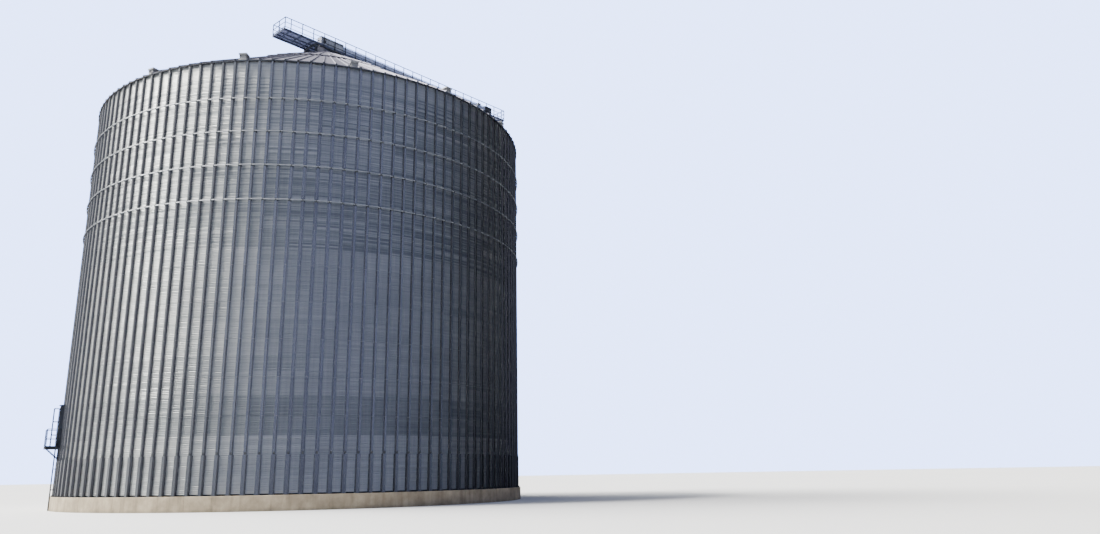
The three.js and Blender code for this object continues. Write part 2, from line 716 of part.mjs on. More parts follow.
const sharedWall = wallSector();
for (let sector = 0; sector < SECTOR_COUNT; sector++) {
  const place = new THREE.Group();
  place.rotation.z = (FIRST_SECTOR_PANEL + sector * PANELS_PER_SECTOR) * PANEL_ANGLE;
  silo.add(place);
  add(`wall_sector_${sector + 1}`, sharedWall, wallSheet, place);
  add(`roof_sector_${sector + 1}`, roofSector(ventPanels(sector)), roofSheet, place);
}
for (let i = 0; i < WIND_RING_COUNT; i++) {
  add(`wind_ring_${i + 1}`, windRing(i), galvanised);
}
add("eave_ring", eaveRing(), darkSteel);
add("roof_cap", roofCap(), roofSheet);

add("gallery_floor", galleryFloor(), darkSteel);
add("gallery_railing_near", sideRailing(GALLERY_NEAR - POST_SIZE / 2 - GAP), galvanised);
add("gallery_railing_far", sideRailing(GALLERY_FAR + POST_SIZE / 2 + GAP), galvanised);
add("gallery_railing_start", endRailing(GALLERY_START + POST_SIZE / 2), galvanised);
add("gallery_railing_end", endRailing(GALLERY_END - POST_SIZE / 2), galvanised);
add("conveyor_drive_box", driveBox(), conveyorSteel);
add("conveyor_trough", conveyorTrough(), conveyorSteel);
add("conveyor_tail_box", endBox(TROUGH_END, TAIL_END), darkSteel);
add("conveyor_inlet", conveyorInlet(), galvanised);
add("conveyor_spout", conveyorSpout(), galvanised);
add("peak_frame", peakFrame(), darkSteel);
add("roof_trestle", trestle(ROOF_TRESTLE), darkSteel);
add("eave_trestle", trestle(EAVE_TRESTLE), darkSteel);
add("knee_brace_near", kneeBrace(-1), darkSteel);
add("knee_brace_far", kneeBrace(1), darkSteel);

const platform = new THREE.Group();
platform.rotation.z = PLATFORM_PANEL * PANEL_ANGLE;
silo.add(platform);
add("platform_deck", platformDeck(), darkSteel, platform);
add("platform_railing", platformRailing(), galvanised, platform);
add("platform_guard_frame", guardFrame(), darkSteel, platform);
add("access_ladder", accessLadder(), galvanised, platform);
add("wall_door", wallDoor(), darkSteel, platform);

export default silo;
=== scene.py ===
import math

import bmesh
import bpy
from mathutils import Matrix, Vector


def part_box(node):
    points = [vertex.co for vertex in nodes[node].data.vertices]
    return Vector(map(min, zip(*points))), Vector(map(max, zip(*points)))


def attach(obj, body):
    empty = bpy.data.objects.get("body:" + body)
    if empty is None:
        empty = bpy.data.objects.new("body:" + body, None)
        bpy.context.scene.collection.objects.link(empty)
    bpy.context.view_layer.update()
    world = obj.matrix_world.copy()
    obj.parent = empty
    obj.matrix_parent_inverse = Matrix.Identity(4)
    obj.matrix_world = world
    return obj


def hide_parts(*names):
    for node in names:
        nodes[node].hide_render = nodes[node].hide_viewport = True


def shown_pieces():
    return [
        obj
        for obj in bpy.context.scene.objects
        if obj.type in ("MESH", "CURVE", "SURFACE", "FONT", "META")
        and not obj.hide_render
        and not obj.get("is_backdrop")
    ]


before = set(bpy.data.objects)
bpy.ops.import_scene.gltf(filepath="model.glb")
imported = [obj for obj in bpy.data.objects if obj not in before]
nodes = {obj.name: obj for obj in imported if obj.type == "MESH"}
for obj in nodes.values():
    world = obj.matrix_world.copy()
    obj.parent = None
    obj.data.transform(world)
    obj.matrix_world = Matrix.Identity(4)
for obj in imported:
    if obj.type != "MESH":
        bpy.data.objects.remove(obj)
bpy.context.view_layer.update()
scene = bpy.context.scene
print("frame loaded:", len(nodes), "nodes")

# Driving sizes of the silo in metres. Bearings are about its axis, from +X towards +Y.
silo = {
    "panels": 128,            # wall panels in a turn, with one stiffener between each two
    "panelsPerSheet": 4,
    "courses": 24,
    "courseHeight": 1.118,    # eleven waves
    "wavesPerCourse": 11,
    "wallRadius": 16.052,     # crest of the waves at a stiffener
    "stiffenerRadius": 16.160,
    "peakRadius": 1.000,      # edge of the cap over the open peak
    "roofSlope": math.radians(30),
    "roofRise": 0.100,        # cone of the solid roof over the wall's rim, at the stiffeners' faces
    "eaveRise": 0.045,        # the thin sheets lie lower there
}
panelAngle = 2 * math.pi / silo["panels"]
halfPanel = panelAngle / 2
contactGap = 0.0003    # what a piece keeps from the one that it touches
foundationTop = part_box("foundation_ring")[1].z
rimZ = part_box("wall_sector_1")[1].z


# Height of the roof's outer surface at a radius: the sheets bear on the wall's rim, and meet the solid roof
# at the peak.
def roofZ(radius):
    run = silo["stiffenerRadius"] - silo["peakRadius"]
    share = (silo["stiffenerRadius"] - radius) / run
    peakZ = rimZ + silo["roofRise"] + run * math.tan(silo["roofSlope"])
    return rimZ + silo["eaveRise"] + share * (peakZ - rimZ - silo["eaveRise"])


# An sRGB hex colour as the linear one that a socket takes
def toLinear(hexColour):
    channels = [int(hexColour[i:i + 2], 16) / 255 for i in (1, 3, 5)]
    return [c / 12.92 if c <= 0.04045 else ((c + 0.055) / 1.055) ** 2.4 for c in channels] + [1.0]


# Sets a node's inputs: each to a plain value, a socket, or a node whose first output is used
def setInputs(tree, node, inputs):
    for key, value in inputs.items():
        if isinstance(value, bpy.types.Node):
            value = value.outputs[0]
        if isinstance(value, bpy.types.NodeSocket):
            tree.links.new(value, node.inputs[key])
        else:
            node.inputs[key].default_value = value


# Adds a node to a tree, with its inputs and settings. A colour Mix node mixes its inputs 6 and 7 into its
# output 2.
def addNode(tree, kind, inputs=None, **settings):
    node = tree.nodes.new(kind)
    for name, value in settings.items():
        setattr(node, name, value)
    setInputs(tree, node, inputs or {})
    return node


# Mesh code: shapes are added to a bmesh

def addBox(bm, low, high, bevel=0.0):
    corners = [(x, y, z) for x in (low[0], high[0]) for y in (low[1], high[1]) for z in (low[2], high[2])]
    v = [bm.verts.new(c) for c in corners]
    quads = [(0, 1, 3, 2), (4, 6, 7, 5), (0, 4, 5, 1), (2, 3, 7, 6), (0, 2, 6, 4), (1, 5, 7, 3)]
    faces = [bm.faces.new([v[i] for i in quad]) for quad in quads]
    if bevel:
        edges = list(dict.fromkeys(e for f in faces for e in f.edges))
        bmesh.ops.bevel(bm, geom=edges, offset=bevel, segments=1, profile=0.5, affect="EDGES")


# The angles of points spread evenly round a circle
def turnsOf(sides, first=0.0):
    return [first + 2 * math.pi * k / sides for k in range(sides)]


# The point at a radius and an angle from the axis, at a height
def pointAt(radius, angle, z):
    return (radius * math.cos(angle), radius * math.sin(angle), z)


# The corners of a level square about a point, at a height
def squareLoop(x, y, half, z):
    return [(x + dx * half, y + dy * half, z) for dx, dy in ((-1, -1), (1, -1), (1, 1), (-1, 1))]


# A prism from a closed loop of points, pushed along a vector
def addPrism(bm, loop, along):
    start = [bm.verts.new(p) for p in loop]
    end = [bm.verts.new(Vector(p) + Vector(along)) for p in loop]
    bm.faces.new(start[::-1])
    bm.faces.new(end)
    for i in range(len(loop)):
        j = (i + 1) % len(loop)
        bm.faces.new((start[i], start[j], end[j], end[i]))


# Skins a list of point loops of equal length into one closed body
def addLoft(bm, loops, closed=False):
    rows = [[bm.verts.new(p) for p in loop] for loop in loops]
    count = len(loops[0])
    pairs = list(zip(rows, rows[1:])) + ([(rows[-1], rows[0])] if closed else [])
    for a, b in pairs:
        for i in range(count):
            j = (i + 1) % count
            bm.faces.new((a[i], a[j], b[j], b[i]))
    if not closed:
        bm.faces.new(rows[0][::-1])
        bm.faces.new(rows[-1])


# A round tube along a path of points
def addTube(bm, path, radius, sides=10):
    points = [Vector(p) for p in path]
    loops = []
    for i, point in enumerate(points):
        before, after = points[max(i - 1, 0)], points[min(i + 1, len(points) - 1)]
        along = (after - before).normalized()
        side = along.cross(Vector((0, 0, 1)))
        side = side.normalized() if side.length > 1e-4 else Vector((1, 0, 0))
        rise = side.cross(along)
        loops.append([point + radius * (math.cos(a) * side + math.sin(a) * rise) for a in turnsOf(sides)])
    addLoft(bm, loops)


# A ring turned about the Z axis from a closed profile of radius and height
def addRing(bm, profile, segments, first=0.0, centre=(0, 0)):
    loops = []
    for a in turnsOf(segments, first):
        x, y = math.cos(a), math.sin(a)
        loops.append([(centre[0] + r * x, centre[1] + r * y, z) for r, z in profile])
    addLoft(bm, loops, closed=True)


# An upright round disc or drum
def addDrum(bm, centre, radius, bottom, top, sides):
    x, y = centre
    loop = [(x + radius * math.cos(a), y + radius * math.sin(a), bottom) for a in turnsOf(sides)]
    addPrism(bm, loop, (0, 0, top - bottom))


# A low pointed bolt head on a face that looks along an axis
def addBoltHead(bm, seat, axis, radius=0.013, height=0.009):
    seat, axis = Vector(seat), Vector(axis).normalized()
    side = axis.orthogonal().normalized()
    rise = axis.cross(side)
    ring = [bm.verts.new(seat + radius * (math.cos(a) * side + math.sin(a) * rise)) for a in turnsOf(6)]
    tip = bm.verts.new(seat + height * axis)
    bm.faces.new(ring[::-1])
    for i in range(6):
        bm.faces.new((ring[i], ring[(i + 1) % 6], tip))


# The mesh of a bmesh, with edges sharper than an angle in degrees kept sharp
def toMesh(name, bm, sharpAngle=35):
    bmesh.ops.recalc_face_normals(bm, faces=bm.faces)
    mesh = bpy.data.meshes.new(name)
    bm.to_mesh(mesh)
    bm.free()
    mesh.shade_smooth()
    mesh.set_sharp_from_angle(angle=math.radians(sharpAngle))
    return mesh


def toObject(name, mesh):
    piece = bpy.data.objects.new(name, mesh)
    scene.collection.objects.link(piece)
    return piece


# Hands a finished object to the frame: its body, and the nodes that it stands for
def settle(piece, replaced=()):
    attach(piece, "root")
    if replaced:
        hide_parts(*replaced)


def makePiece(name, bm, finish, replaced=(), turn=0.0):
    mesh = toMesh(name, bm)
    if turn:
        mesh.transform(Matrix.Rotation(turn, 4, "Z"))
    mesh.materials.append(finish)
    settle(toObject(name, mesh), replaced)


# Geometry Nodes: one tree copies a unit round the axis in levels, one copies it along a line

def startTree(name, sockets):
    tree = bpy.data.node_groups.new(name, "GeometryNodeTree")
    for label, kind in sockets.items():
        tree.interface.new_socket(label, in_out="INPUT", socket_type=kind)
    tree.interface.new_socket("Geometry", in_out="OUTPUT", socket_type="NodeSocketGeometry")
    return tree


# Ends a tree: copies of the unit on the points get a random tone, become real and take the finish
def endTree(tree, given, points, rotation):
    unit = addNode(tree, "GeometryNodeObjectInfo", {"Object": given["Unit"]})
    placed = addNode(tree, "GeometryNodeInstanceOnPoints",
                     {"Points": points, "Instance": unit.outputs["Geometry"], "Rotation": rotation})
    high = addNode(tree, "ShaderNodeMath", {0: given["Tone"], 1: given["Tone Spread"]}, operation="ADD")
    low = addNode(tree, "ShaderNodeMath", {0: given["Tone"], 1: given["Tone Spread"]}, operation="SUBTRACT")
    tone = addNode(tree, "FunctionNodeRandomValue", {2: low, 3: high, "Seed": given["Seed"]},
                   data_type="FLOAT")
    toned = addNode(tree, "GeometryNodeStoreNamedAttribute",
                    {"Geometry": placed, "Name": "tone", "Value": tone.outputs["Value"]},
                    data_type="FLOAT", domain="INSTANCE")
    real = addNode(tree, "GeometryNodeRealizeInstances", {"Geometry": toned})
    done = addNode(tree, "GeometryNodeSetMaterial", {"Geometry": real, "Material": given["Finish"]})
    addNode(tree, "NodeGroupOutput", {"Geometry": done})


commonSockets = {"Unit": "NodeSocketObject", "Tone": "NodeSocketFloat", "Tone Spread": "NodeSocketFloat",
                 "Seed": "NodeSocketInt", "Finish": "NodeSocketMaterial"}


def buildRingTree():
    sockets = {"Around": "NodeSocketInt", "First Angle": "NodeSocketFloat", "Angle Step": "NodeSocketFloat",
               "Levels": "NodeSocketInt", "Level Pitch": "NodeSocketFloat", "Level Turn": "NodeSocketFloat"}
    tree = startTree("ringOfCopies", {**sockets, **commonSockets})
    given = addNode(tree, "NodeGroupInput").outputs
    index = addNode(tree, "GeometryNodeInputIndex")
    count = addNode(tree, "ShaderNodeMath", {0: given["Around"], 1: given["Levels"]}, operation="MULTIPLY")
    turns = addNode(tree, "ShaderNodeMath", {0: index, 1: given["Around"]}, operation="DIVIDE")
    level = addNode(tree, "ShaderNodeMath", {0: turns}, operation="FLOOR")
    place = addNode(tree, "ShaderNodeMath", {0: index, 1: given["Around"]}, operation="MODULO")
    height = addNode(tree, "ShaderNodeMath", {0: level, 1: given["Level Pitch"]}, operation="MULTIPLY")
    seat = addNode(tree, "ShaderNodeCombineXYZ", {"Z": height})
    points = addNode(tree, "GeometryNodePoints", {"Count": count, "Position": seat})
    odd = addNode(tree, "ShaderNodeMath", {0: level, 1: 2.0}, operation="MODULO")
    stagger = addNode(tree, "ShaderNodeMath", {0: odd, 1: given["Level Turn"], 2: given["First Angle"]},
                      operation="MULTIPLY_ADD")
    angle = addNode(tree, "ShaderNodeMath", {0: place, 1: given["Angle Step"], 2: stagger},
                    operation="MULTIPLY_ADD")
    endTree(tree, given, points, addNode(tree, "ShaderNodeCombineXYZ", {"Z": angle}))
    return tree


def buildRowTree():
    sockets = {"Count": "NodeSocketInt", "Start": "NodeSocketVector", "Step": "NodeSocketVector"}
    tree = startTree("rowOfCopies", {**sockets, **commonSockets})
    given = addNode(tree, "NodeGroupInput").outputs
    index = addNode(tree, "GeometryNodeInputIndex")
    reach = addNode(tree, "ShaderNodeVectorMath", {0: given["Step"], "Scale": index}, operation="SCALE")
    seat = addNode(tree, "ShaderNodeVectorMath", {0: reach, 1: given["Start"]}, operation="ADD")
    points = addNode(tree, "GeometryNodePoints", {"Count": given["Count"], "Position": seat})
    endTree(tree, given, points, addNode(tree, "ShaderNodeCombineXYZ"))
    return tree


ringTree = buildRingTree()
rowTree = buildRowTree()


# Runs a tree on a unit, keeps the result as a plain mesh and hands it to the frame
def growPiece(name, tree, bm, finish, values, replaced=(), turn=0.0, sharpAngle=35):
    unit = toObject(name + "Unit", toMesh(name + "Unit", bm, sharpAngle))
    piece = toObject(name, bpy.data.meshes.new(name + "Seed"))
    given = {"Unit": unit, "Finish": finish, "Tone": 0.5, "Tone Spread": 0.0, "Seed": 7, "First Angle": 0.0,
             "Levels": 1, "Level Pitch": 0.0, "Level Turn": 0.0, **values}
    modifier = piece.modifiers.new("copies", "NODES")
    modifier.node_group = tree
    for socket in tree.interface.items_tree:
        if socket.in_out == "INPUT":
            modifier[socket.identifier] = given[socket.name]
    graph = bpy.context.evaluated_depsgraph_get()
    mesh = bpy.data.meshes.new_from_object(piece.evaluated_get(graph), depsgraph=graph)
    mesh.name = name
    piece.modifiers.remove(modifier)
    piece.data = mesh
    bpy.data.objects.remove(unit)
    if turn:
        mesh.transform(Matrix.Rotation(turn, 4, "Z"))
    settle(piece, replaced)


# Materials

def startMaterial(name):
    material = bpy.data.materials.new(name)
    material.use_nodes = True
    tree = material.node_tree
    return material, tree, tree.nodes["Principled BSDF"]


# Hot-dip galvanised steel, weathered outdoors: a dull zinc grey with crystal spangle, tone from sheet to
# sheet, run-down streaks and a slight waviness, which breaks a reflection into soft patches.
def makeZinc(name, look):
    material, tree, shader = startMaterial(name)
    place = addNode(tree, "ShaderNodeTexCoord").outputs["Object"]
    spangle = addNode(tree, "ShaderNodeTexVoronoi", {"Vector": place, "Scale": 1 / look["spangle"]})
    grain = addNode(tree, "ShaderNodeSeparateColor", {"Color": spangle.outputs["Color"]})
    down = addNode(tree, "ShaderNodeMapping", {"Vector": place, "Scale": (1.0, 1.0, look["streakStretch"])})
    streak = addNode(tree, "ShaderNodeTexNoise", {"Vector": down, "Scale": 1 / look["streak"], "Detail": 4.0,
                                                  "Roughness": 0.6})
    cloud = addNode(tree, "ShaderNodeTexNoise", {"Vector": place, "Scale": 1 / look["cloud"], "Detail": 3.0})
    tone = addNode(tree, "ShaderNodeAttribute", attribute_name="tone").outputs["Fac"]
    shade = addNode(tree, "ShaderNodeMath", {0: tone, 1: look["toneShare"], 2: look["shadeStart"]},
                    operation="MULTIPLY_ADD")
    height = addNode(tree, "ShaderNodeSeparateXYZ", {"Vector": place}).outputs["Z"]
    sheet = addNode(tree, "ShaderNodeMath", {0: tone, 1: 500.0}, operation="MULTIPLY")    # bands of its own
    rolled = addNode(tree, "ShaderNodeCombineXYZ", {"X": sheet, "Z": height})
    band = addNode(tree, "ShaderNodeTexNoise", {"Vector": rolled, "Scale": 1 / look["band"], "Detail": 1.5,
                                                "Roughness": 0.5})
    for source, share in ((streak, look["streakShare"]), (cloud, look["cloudShare"]),
                          (grain, look["spangleShare"]), (band, look["bandShare"])):
        centred = addNode(tree, "ShaderNodeMath", {0: source, 1: 0.5}, operation="SUBTRACT")
        shade = addNode(tree, "ShaderNodeMath", {0: centred, 1: share, 2: shade}, operation="MULTIPLY_ADD")
    shade.use_clamp = True
    # Each lapped sheet is made darker just above its foot, fading out over lapHeight
    if look["lapFootDarkening"]:
        lap = addNode(tree, "ShaderNodeAttribute", attribute_name="lap").outputs["Fac"]
        foot = addNode(tree, "ShaderNodeMapRange", {"Value": lap, "From Max": look["lapHeight"],
                                                    "To Min": look["lapFootDarkening"], "To Max": 0.0})
        shade = addNode(tree, "ShaderNodeMath", {0: shade, 1: foot}, operation="SUBTRACT", use_clamp=True)
    colour = addNode(tree, "ShaderNodeMix", {"Factor": shade, 6: toLinear(look["dark"]),
                                             7: toLinear(look["light"])}, data_type="RGBA")
    bare = look["metallic"]
    # Painted shade: on a section's sides, marked by the attribute side, the colour is mixed towards a dark one
    # and most of the metal is taken off
    if look["paintedSideShade"]:
        side = addNode(tree, "ShaderNodeAttribute", attribute_name="side").outputs["Fac"]
        colour = addNode(tree, "ShaderNodeMix", {"Factor": side, 6: colour.outputs[2],
                                                 7: toLinear(look["paintedSideShade"])}, data_type="RGBA")
        bare = addNode(tree, "ShaderNodeMapRange", {"Value": side, "To Min": bare, "To Max": 0.1})
    rough = addNode(tree, "ShaderNodeMapRange", {"Value": shade, "To Min": look["rough"][0],
                                                 "To Max": look["rough"][1]})
    wavy = addNode(tree, "ShaderNodeTexNoise", {"Vector": place, "Scale": 1 / look["wavy"], "Detail": 1.0})
    if look["rolled"]:
        wavy = addNode(tree, "ShaderNodeMath", {0: band, 1: look["rolled"], 2: wavy},
                       operation="MULTIPLY_ADD")
    bump = addNode(tree, "ShaderNodeBump", {"Height": wavy, "Strength": 1.0, "Distance": look["wavyDepth"]})
    setInputs(tree, shader, {"Base Color": colour.outputs[2], "Metallic": bare, "Roughness": rough,
                             "Normal": bump, "Specular Tint": toLinear(look["edge"]),
                             "Specular IOR Level": look["shine"]})
    return material


zincLook = {
    "dark": "#8c9296", "light": "#d6d9d8", "metallic": 0.9, "shine": 0.5,
    "edge": "#ffffff",                         # tint of a glancing reflection
    "paintedSideShade": None,                             # colour painted on a section's sides as shade
    "spangle": 0.035, "spangleShare": 0.10,    # crystals of 10 to 20 mm, drawn at 35 mm so that they show
    "streak": 0.22, "streakStretch": 0.05, "streakShare": 0.35,
    "cloud": 2.4, "cloudShare": 0.25,
    "band": 0.10, "bandShare": 0.0,            # dust on some waves more than on others, about 2 apart
    "lapFootDarkening": 0.0, "lapHeight": 0.05,        # darker just above the foot of a lapped sheet
    "toneShare": 0.5, "shadeStart": 0.25, "rough": (0.48, 0.37),
    "wavy": 0.35, "rolled": 0.0, "wavyDepth": 0.004,
}
wallLook = {**zincLook, "metallic": 0.95, "bandShare": 0.9, "rolled": 4.5, "lapFootDarkening": 0.25}
wallFinish = makeZinc("galvanisedWallSheet", wallLook)
dustyFinish = makeZinc("dustyGalvanisedWallSheet", {**wallLook, "bandShare": 2.8})
roofFinish = makeZinc("galvanisedRoofSheet", {
    **zincLook, "dark": "#71737f", "light": "#908f9e", "metallic": 0.3, "edge": "#5c5e6c", "shine": 0.1,
    "streakStretch": 1.0, "streakShare": 0.15, "rough": (0.55, 0.45)})
# Galvanised sections, with dark shade painted on their sides
sectionFinish = makeZinc("galvanisedSection", {
    **zincLook, "dark": "#838589", "light": "#aeb1b5", "metallic": 0.97, "rough": (0.22, 0.17),
    "wavyDepth": 0.001, "paintedSideShade": "#383a41"})
smallLook = {**zincLook, "wavyDepth": 0.0005}
tubeFinish = makeZinc("galvanisedTube", {
    **smallLook, "dark": "#92979f", "light": "#bcc1c8", "metallic": 0.7, "streak": 0.08, "streakStretch": 1.0,
    "rough": (0.42, 0.34)})
hoodFinish = makeZinc("galvanisedHood", {
    **smallLook, "dark": "#74777c", "light": "#989a9e", "metallic": 0.5, "streak": 0.1,
    "rough": (0.45, 0.35)})
fastenerFinish = makeZinc("zincPlatedBolt", {
    **smallLook, "dark": "#8b9094", "light": "#c4c7c8", "rough": (0.45, 0.35)})


# Steel under a worn coat of paint or a dull weathered skin: a broken, rather rough surface with lighter
# rubbed patches and stains that run down.
def makePaintedSteel(name, look):
    material, tree, shader = startMaterial(name)
    place = addNode(tree, "ShaderNodeTexCoord").outputs["Object"]
    patch = addNode(tree, "ShaderNodeTexNoise", {"Vector": place, "Scale": 1 / look["patch"], "Detail": 5.0,
                                                 "Roughness": 0.62})
    spread = addNode(tree, "ShaderNodeMapRange", {"Value": patch, "From Min": 0.3, "From Max": 0.7})
    colour = addNode(tree, "ShaderNodeMix", {"Factor": spread, 6: toLinear(look["dark"]),
                                             7: toLinear(look["light"])}, data_type="RGBA")
    down = addNode(tree, "ShaderNodeMapping", {"Vector": place, "Scale": (1.0, 1.0, 0.25)})
    stain = addNode(tree, "ShaderNodeTexNoise", {"Vector": down, "Scale": 1 / look["stain"], "Detail": 6.0})
    amount = addNode(tree, "ShaderNodeMapRange", {"Value": stain, "From Min": look["stainStart"],
                                                  "From Max": 0.75, "To Max": look["stainShare"]})
    stained = addNode(tree, "ShaderNodeMix", {"Factor": amount, 6: colour.outputs[2],
                                              7: toLinear(look["rust"])}, data_type="RGBA")
    rough = addNode(tree, "ShaderNodeMapRange", {"Value": patch, "To Min": look["rough"][0],
                                                 "To Max": look["rough"][1]})
    bump = addNode(tree, "ShaderNodeBump", {"Height": stain, "Strength": 0.6, "Distance": 0.0008})
    setInputs(tree, shader, {"Base Color": stained.outputs[2], "Metallic": look["metallic"],
                             "Roughness": rough, "Normal": bump, "Specular IOR Level": look["shine"]})
    return material


paintLook = {"patch": 0.5, "stain": 0.3, "stainStart": 0.5, "stainShare": 0.5, "rough": (0.5, 0.7),
             "metallic": 0.1, "shine": 0.1}
darkFinish = makePaintedSteel("weatheredDarkSteel", {
    **paintLook, "dark": "#252932", "light": "#3d4350", "rust": "#4a3d37", "stainStart": 0.55,
    "rough": (0.5, 0.75), "metallic": 0.2, "shine": 0.2})
galleryFinish = makePaintedSteel("navyPaintedSteel", {
    **paintLook, "dark": "#30354a", "light": "#495169", "rust": "#3f3e46", "stainStart": 0.55,
    "stainShare": 0.4, "rough": (0.7, 0.85), "metallic": 0.0, "shine": 0.05})
railFinish = makePaintedSteel("darkGreyPaintedTube", {
    **paintLook, "dark": "#191c24", "light": "#2b2f3a", "rust": "#38312e", "patch": 0.3, "stain": 0.2,
    "stainStart": 0.58, "stainShare": 0.4})
housingLook = {**paintLook, "patch": 0.8, "stain": 0.25, "rough": (0.45, 0.65)}
driveFinish = makePaintedSteel("greyPaintedSteel", {
    **housingLook, "dark": "#666d7e", "light": "#8b92a3", "rust": "#55565c"})
conveyorFinish = makePaintedSteel("blueGreyPaintedSteel", {
    **housingLook, "dark": "#7a86a9", "light": "#9ba7c9", "rust": "#5d6278"})
deckFinish = makePaintedSteel("blueGreyDeckPaint", {
    **paintLook, "dark": "#6f789a", "light": "#97a1c2", "rust": "#64667c", "patch": 0.6, "shine": 0.5})
bracketFinish = makePaintedSteel("dullForgedSteel", {
    **paintLook, "dark": "#3c4044", "light": "#5c6166", "rust": "#4d4540", "patch": 0.2, "stain": 0.15,
    "metallic": 0.6, "shine": 0.5})


# Cast concrete from board forms: pale and matt, blotched, with darker runs from the top, pores, and a damp
# green-grey foot where the ground splashes it.
def makeConcrete(name, look):
    material, tree, shader = startMaterial(name)
    place = addNode(tree, "ShaderNodeTexCoord").outputs["Object"]
    blotch = addNode(tree, "ShaderNodeTexNoise", {"Vector": place, "Scale": 1 / look["blotch"], "Detail": 6.0,
                                                  "Roughness": 0.65})
    spread = addNode(tree, "ShaderNodeMapRange", {"Value": blotch, "From Min": 0.35, "From Max": 0.65})
    base = addNode(tree, "ShaderNodeMix", {"Factor": spread, 6: toLinear(look["dark"]),
                                           7: toLinear(look["light"])}, data_type="RGBA")
    down = addNode(tree, "ShaderNodeMapping", {"Vector": place, "Scale": (1.0, 1.0, 0.15)})
    runs = addNode(tree, "ShaderNodeTexNoise", {"Vector": down, "Scale": 1 / look["run"], "Detail": 5.0})
    runAmount = addNode(tree, "ShaderNodeMapRange", {"Value": runs, "From Min": 0.5, "From Max": 0.72,
                                                     "To Max": look["runShare"]})
    stained = addNode(tree, "ShaderNodeMix", {"Factor": runAmount, 6: base.outputs[2],
                                              7: toLinear(look["stain"])}, data_type="RGBA")
    height = addNode(tree, "ShaderNodeSeparateXYZ", {"Vector": place}).outputs["Z"]
    ragged = addNode(tree, "ShaderNodeMath", {0: blotch, 1: look["dampRagged"], 2: height},
                     operation="MULTIPLY_ADD")
    wet = addNode(tree, "ShaderNodeMapRange", {"Value": ragged, "From Min": look["dampTop"], "From Max": 0.12,
                                               "To Min": 0.0, "To Max": look["dampShare"]})
    damp = addNode(tree, "ShaderNodeMix", {"Factor": wet, 6: stained.outputs[2], 7: toLinear(look["damp"])},
                   data_type="RGBA")
    pores = addNode(tree, "ShaderNodeTexNoise", {"Vector": place, "Scale": 1 / look["pore"], "Detail": 4.0})
    bump = addNode(tree, "ShaderNodeBump", {"Height": pores, "Strength": 0.7, "Distance": 0.004})
    setInputs(tree, shader, {"Base Color": damp.outputs[2], "Roughness": 0.9, "Normal": bump})
    return material


concreteFinish = makeConcrete("castConcrete", {
    "dark": "#8b7f6b", "light": "#b2a48c", "stain": "#6f6453", "damp": "#6f6c5a", "blotch": 1.1, "run": 0.35,
    "runShare": 0.55, "pore": 0.03, "dampRagged": 0.3, "dampTop": 0.36, "dampShare": 0.6})
print("materials made")


# Wall sheets: real waves, lapped by leaning each sheet's foot out over the one below
wall = {
    "waveDepth": 0.013,
    "stepsPerWave": 6,
    "backRadius": 16.037,
    "lap": 0.036,             # how far a sheet reaches down over the next
    "lean": 0.004,            # how far its foot stands out there
    "footClearance": 0.090,   # slot between the foundation and the first sheets
}


# One sheet from the first stiffener on, with its foot at a height above its course's seam
def startSheet(foot):
    bm = bmesh.new()
    lapLayer = bm.verts.layers.float.new("lap")
    rowCount = silo["wavesPerCourse"] * wall["stepsPerWave"]
    rowHeight = silo["courseHeight"] / rowCount
    firstRow = round(foot / rowHeight)
    angles = [i * panelAngle for i in range(silo["panelsPerSheet"] + 1)]
    fronts, backs = [], []
    for row in range(firstRow, rowCount + 1):
        z = row * rowHeight
        wave = math.cos(2 * math.pi * row / wall["stepsPerWave"])
        lean = wall["lean"] * (1 - z / silo["courseHeight"])
        radius = silo["wallRadius"] - wall["waveDepth"] * (1 - wave) / 2 + lean
        fronts.append([bm.verts.new(pointAt(radius, a, z)) for a in angles])
        for v in fronts[-1]:
            v[lapLayer] = z - firstRow * rowHeight
    for row in (fronts[0], fronts[-1]):
        backs.append([bm.verts.new(pointAt(wall["backRadius"], a, row[0].co.z)) for a in angles])
    for low, high in zip(fronts, fronts[1:]):
        for i in range(len(angles) - 1):
            bm.faces.new((low[i], low[i + 1], high[i + 1], high[i]))
    for i in range(len(angles) - 1):
        bm.faces.new((backs[0][i + 1], backs[0][i], backs[1][i], backs[1][i + 1]))
        bm.faces.new((backs[0][i], backs[0][i + 1], fronts[0][i + 1], fronts[0][i]))
        bm.faces.new((backs[1][i + 1], backs[1][i], fronts[-1][i], fronts[-1][i + 1]))
    bm.faces.new([backs[0][0]] + [row[0] for row in fronts] + [backs[1][0]])
    bm.faces.new([backs[1][-1]] + [row[-1] for row in fronts[::-1]] + [backs[0][-1]])
    return bm


# The courses in groups: how many, how bright their zinc is, and whether dust lies on its waves
courseGroups = [
    # The foot and low courses are lighter partly as painted highlight, for the brighter light near the wall's
    # foot
    {"name": "wallSheetsFoot", "courses": 1, "tone": 1.00, "finish": wallFinish},
    {"name": "wallSheetsLow", "courses": 2, "tone": 0.95, "finish": wallFinish},
    {"name": "wallSheetsDull", "courses": 2, "tone": 0.12, "finish": wallFinish},
    {"name": "wallSheetsMiddle", "courses": 8, "tone": 0.58, "finish": wallFinish},
    {"name": "wallSheetsUpper", "courses": 5, "tone": 0.06, "finish": dustyFinish},
    {"name": "wallSheetsHigh", "courses": 5, "tone": 0.38, "finish": dustyFinish},
    {"name": "wallSheetsTop", "courses": 1, "tone": 0.85, "finish": wallFinish},
]


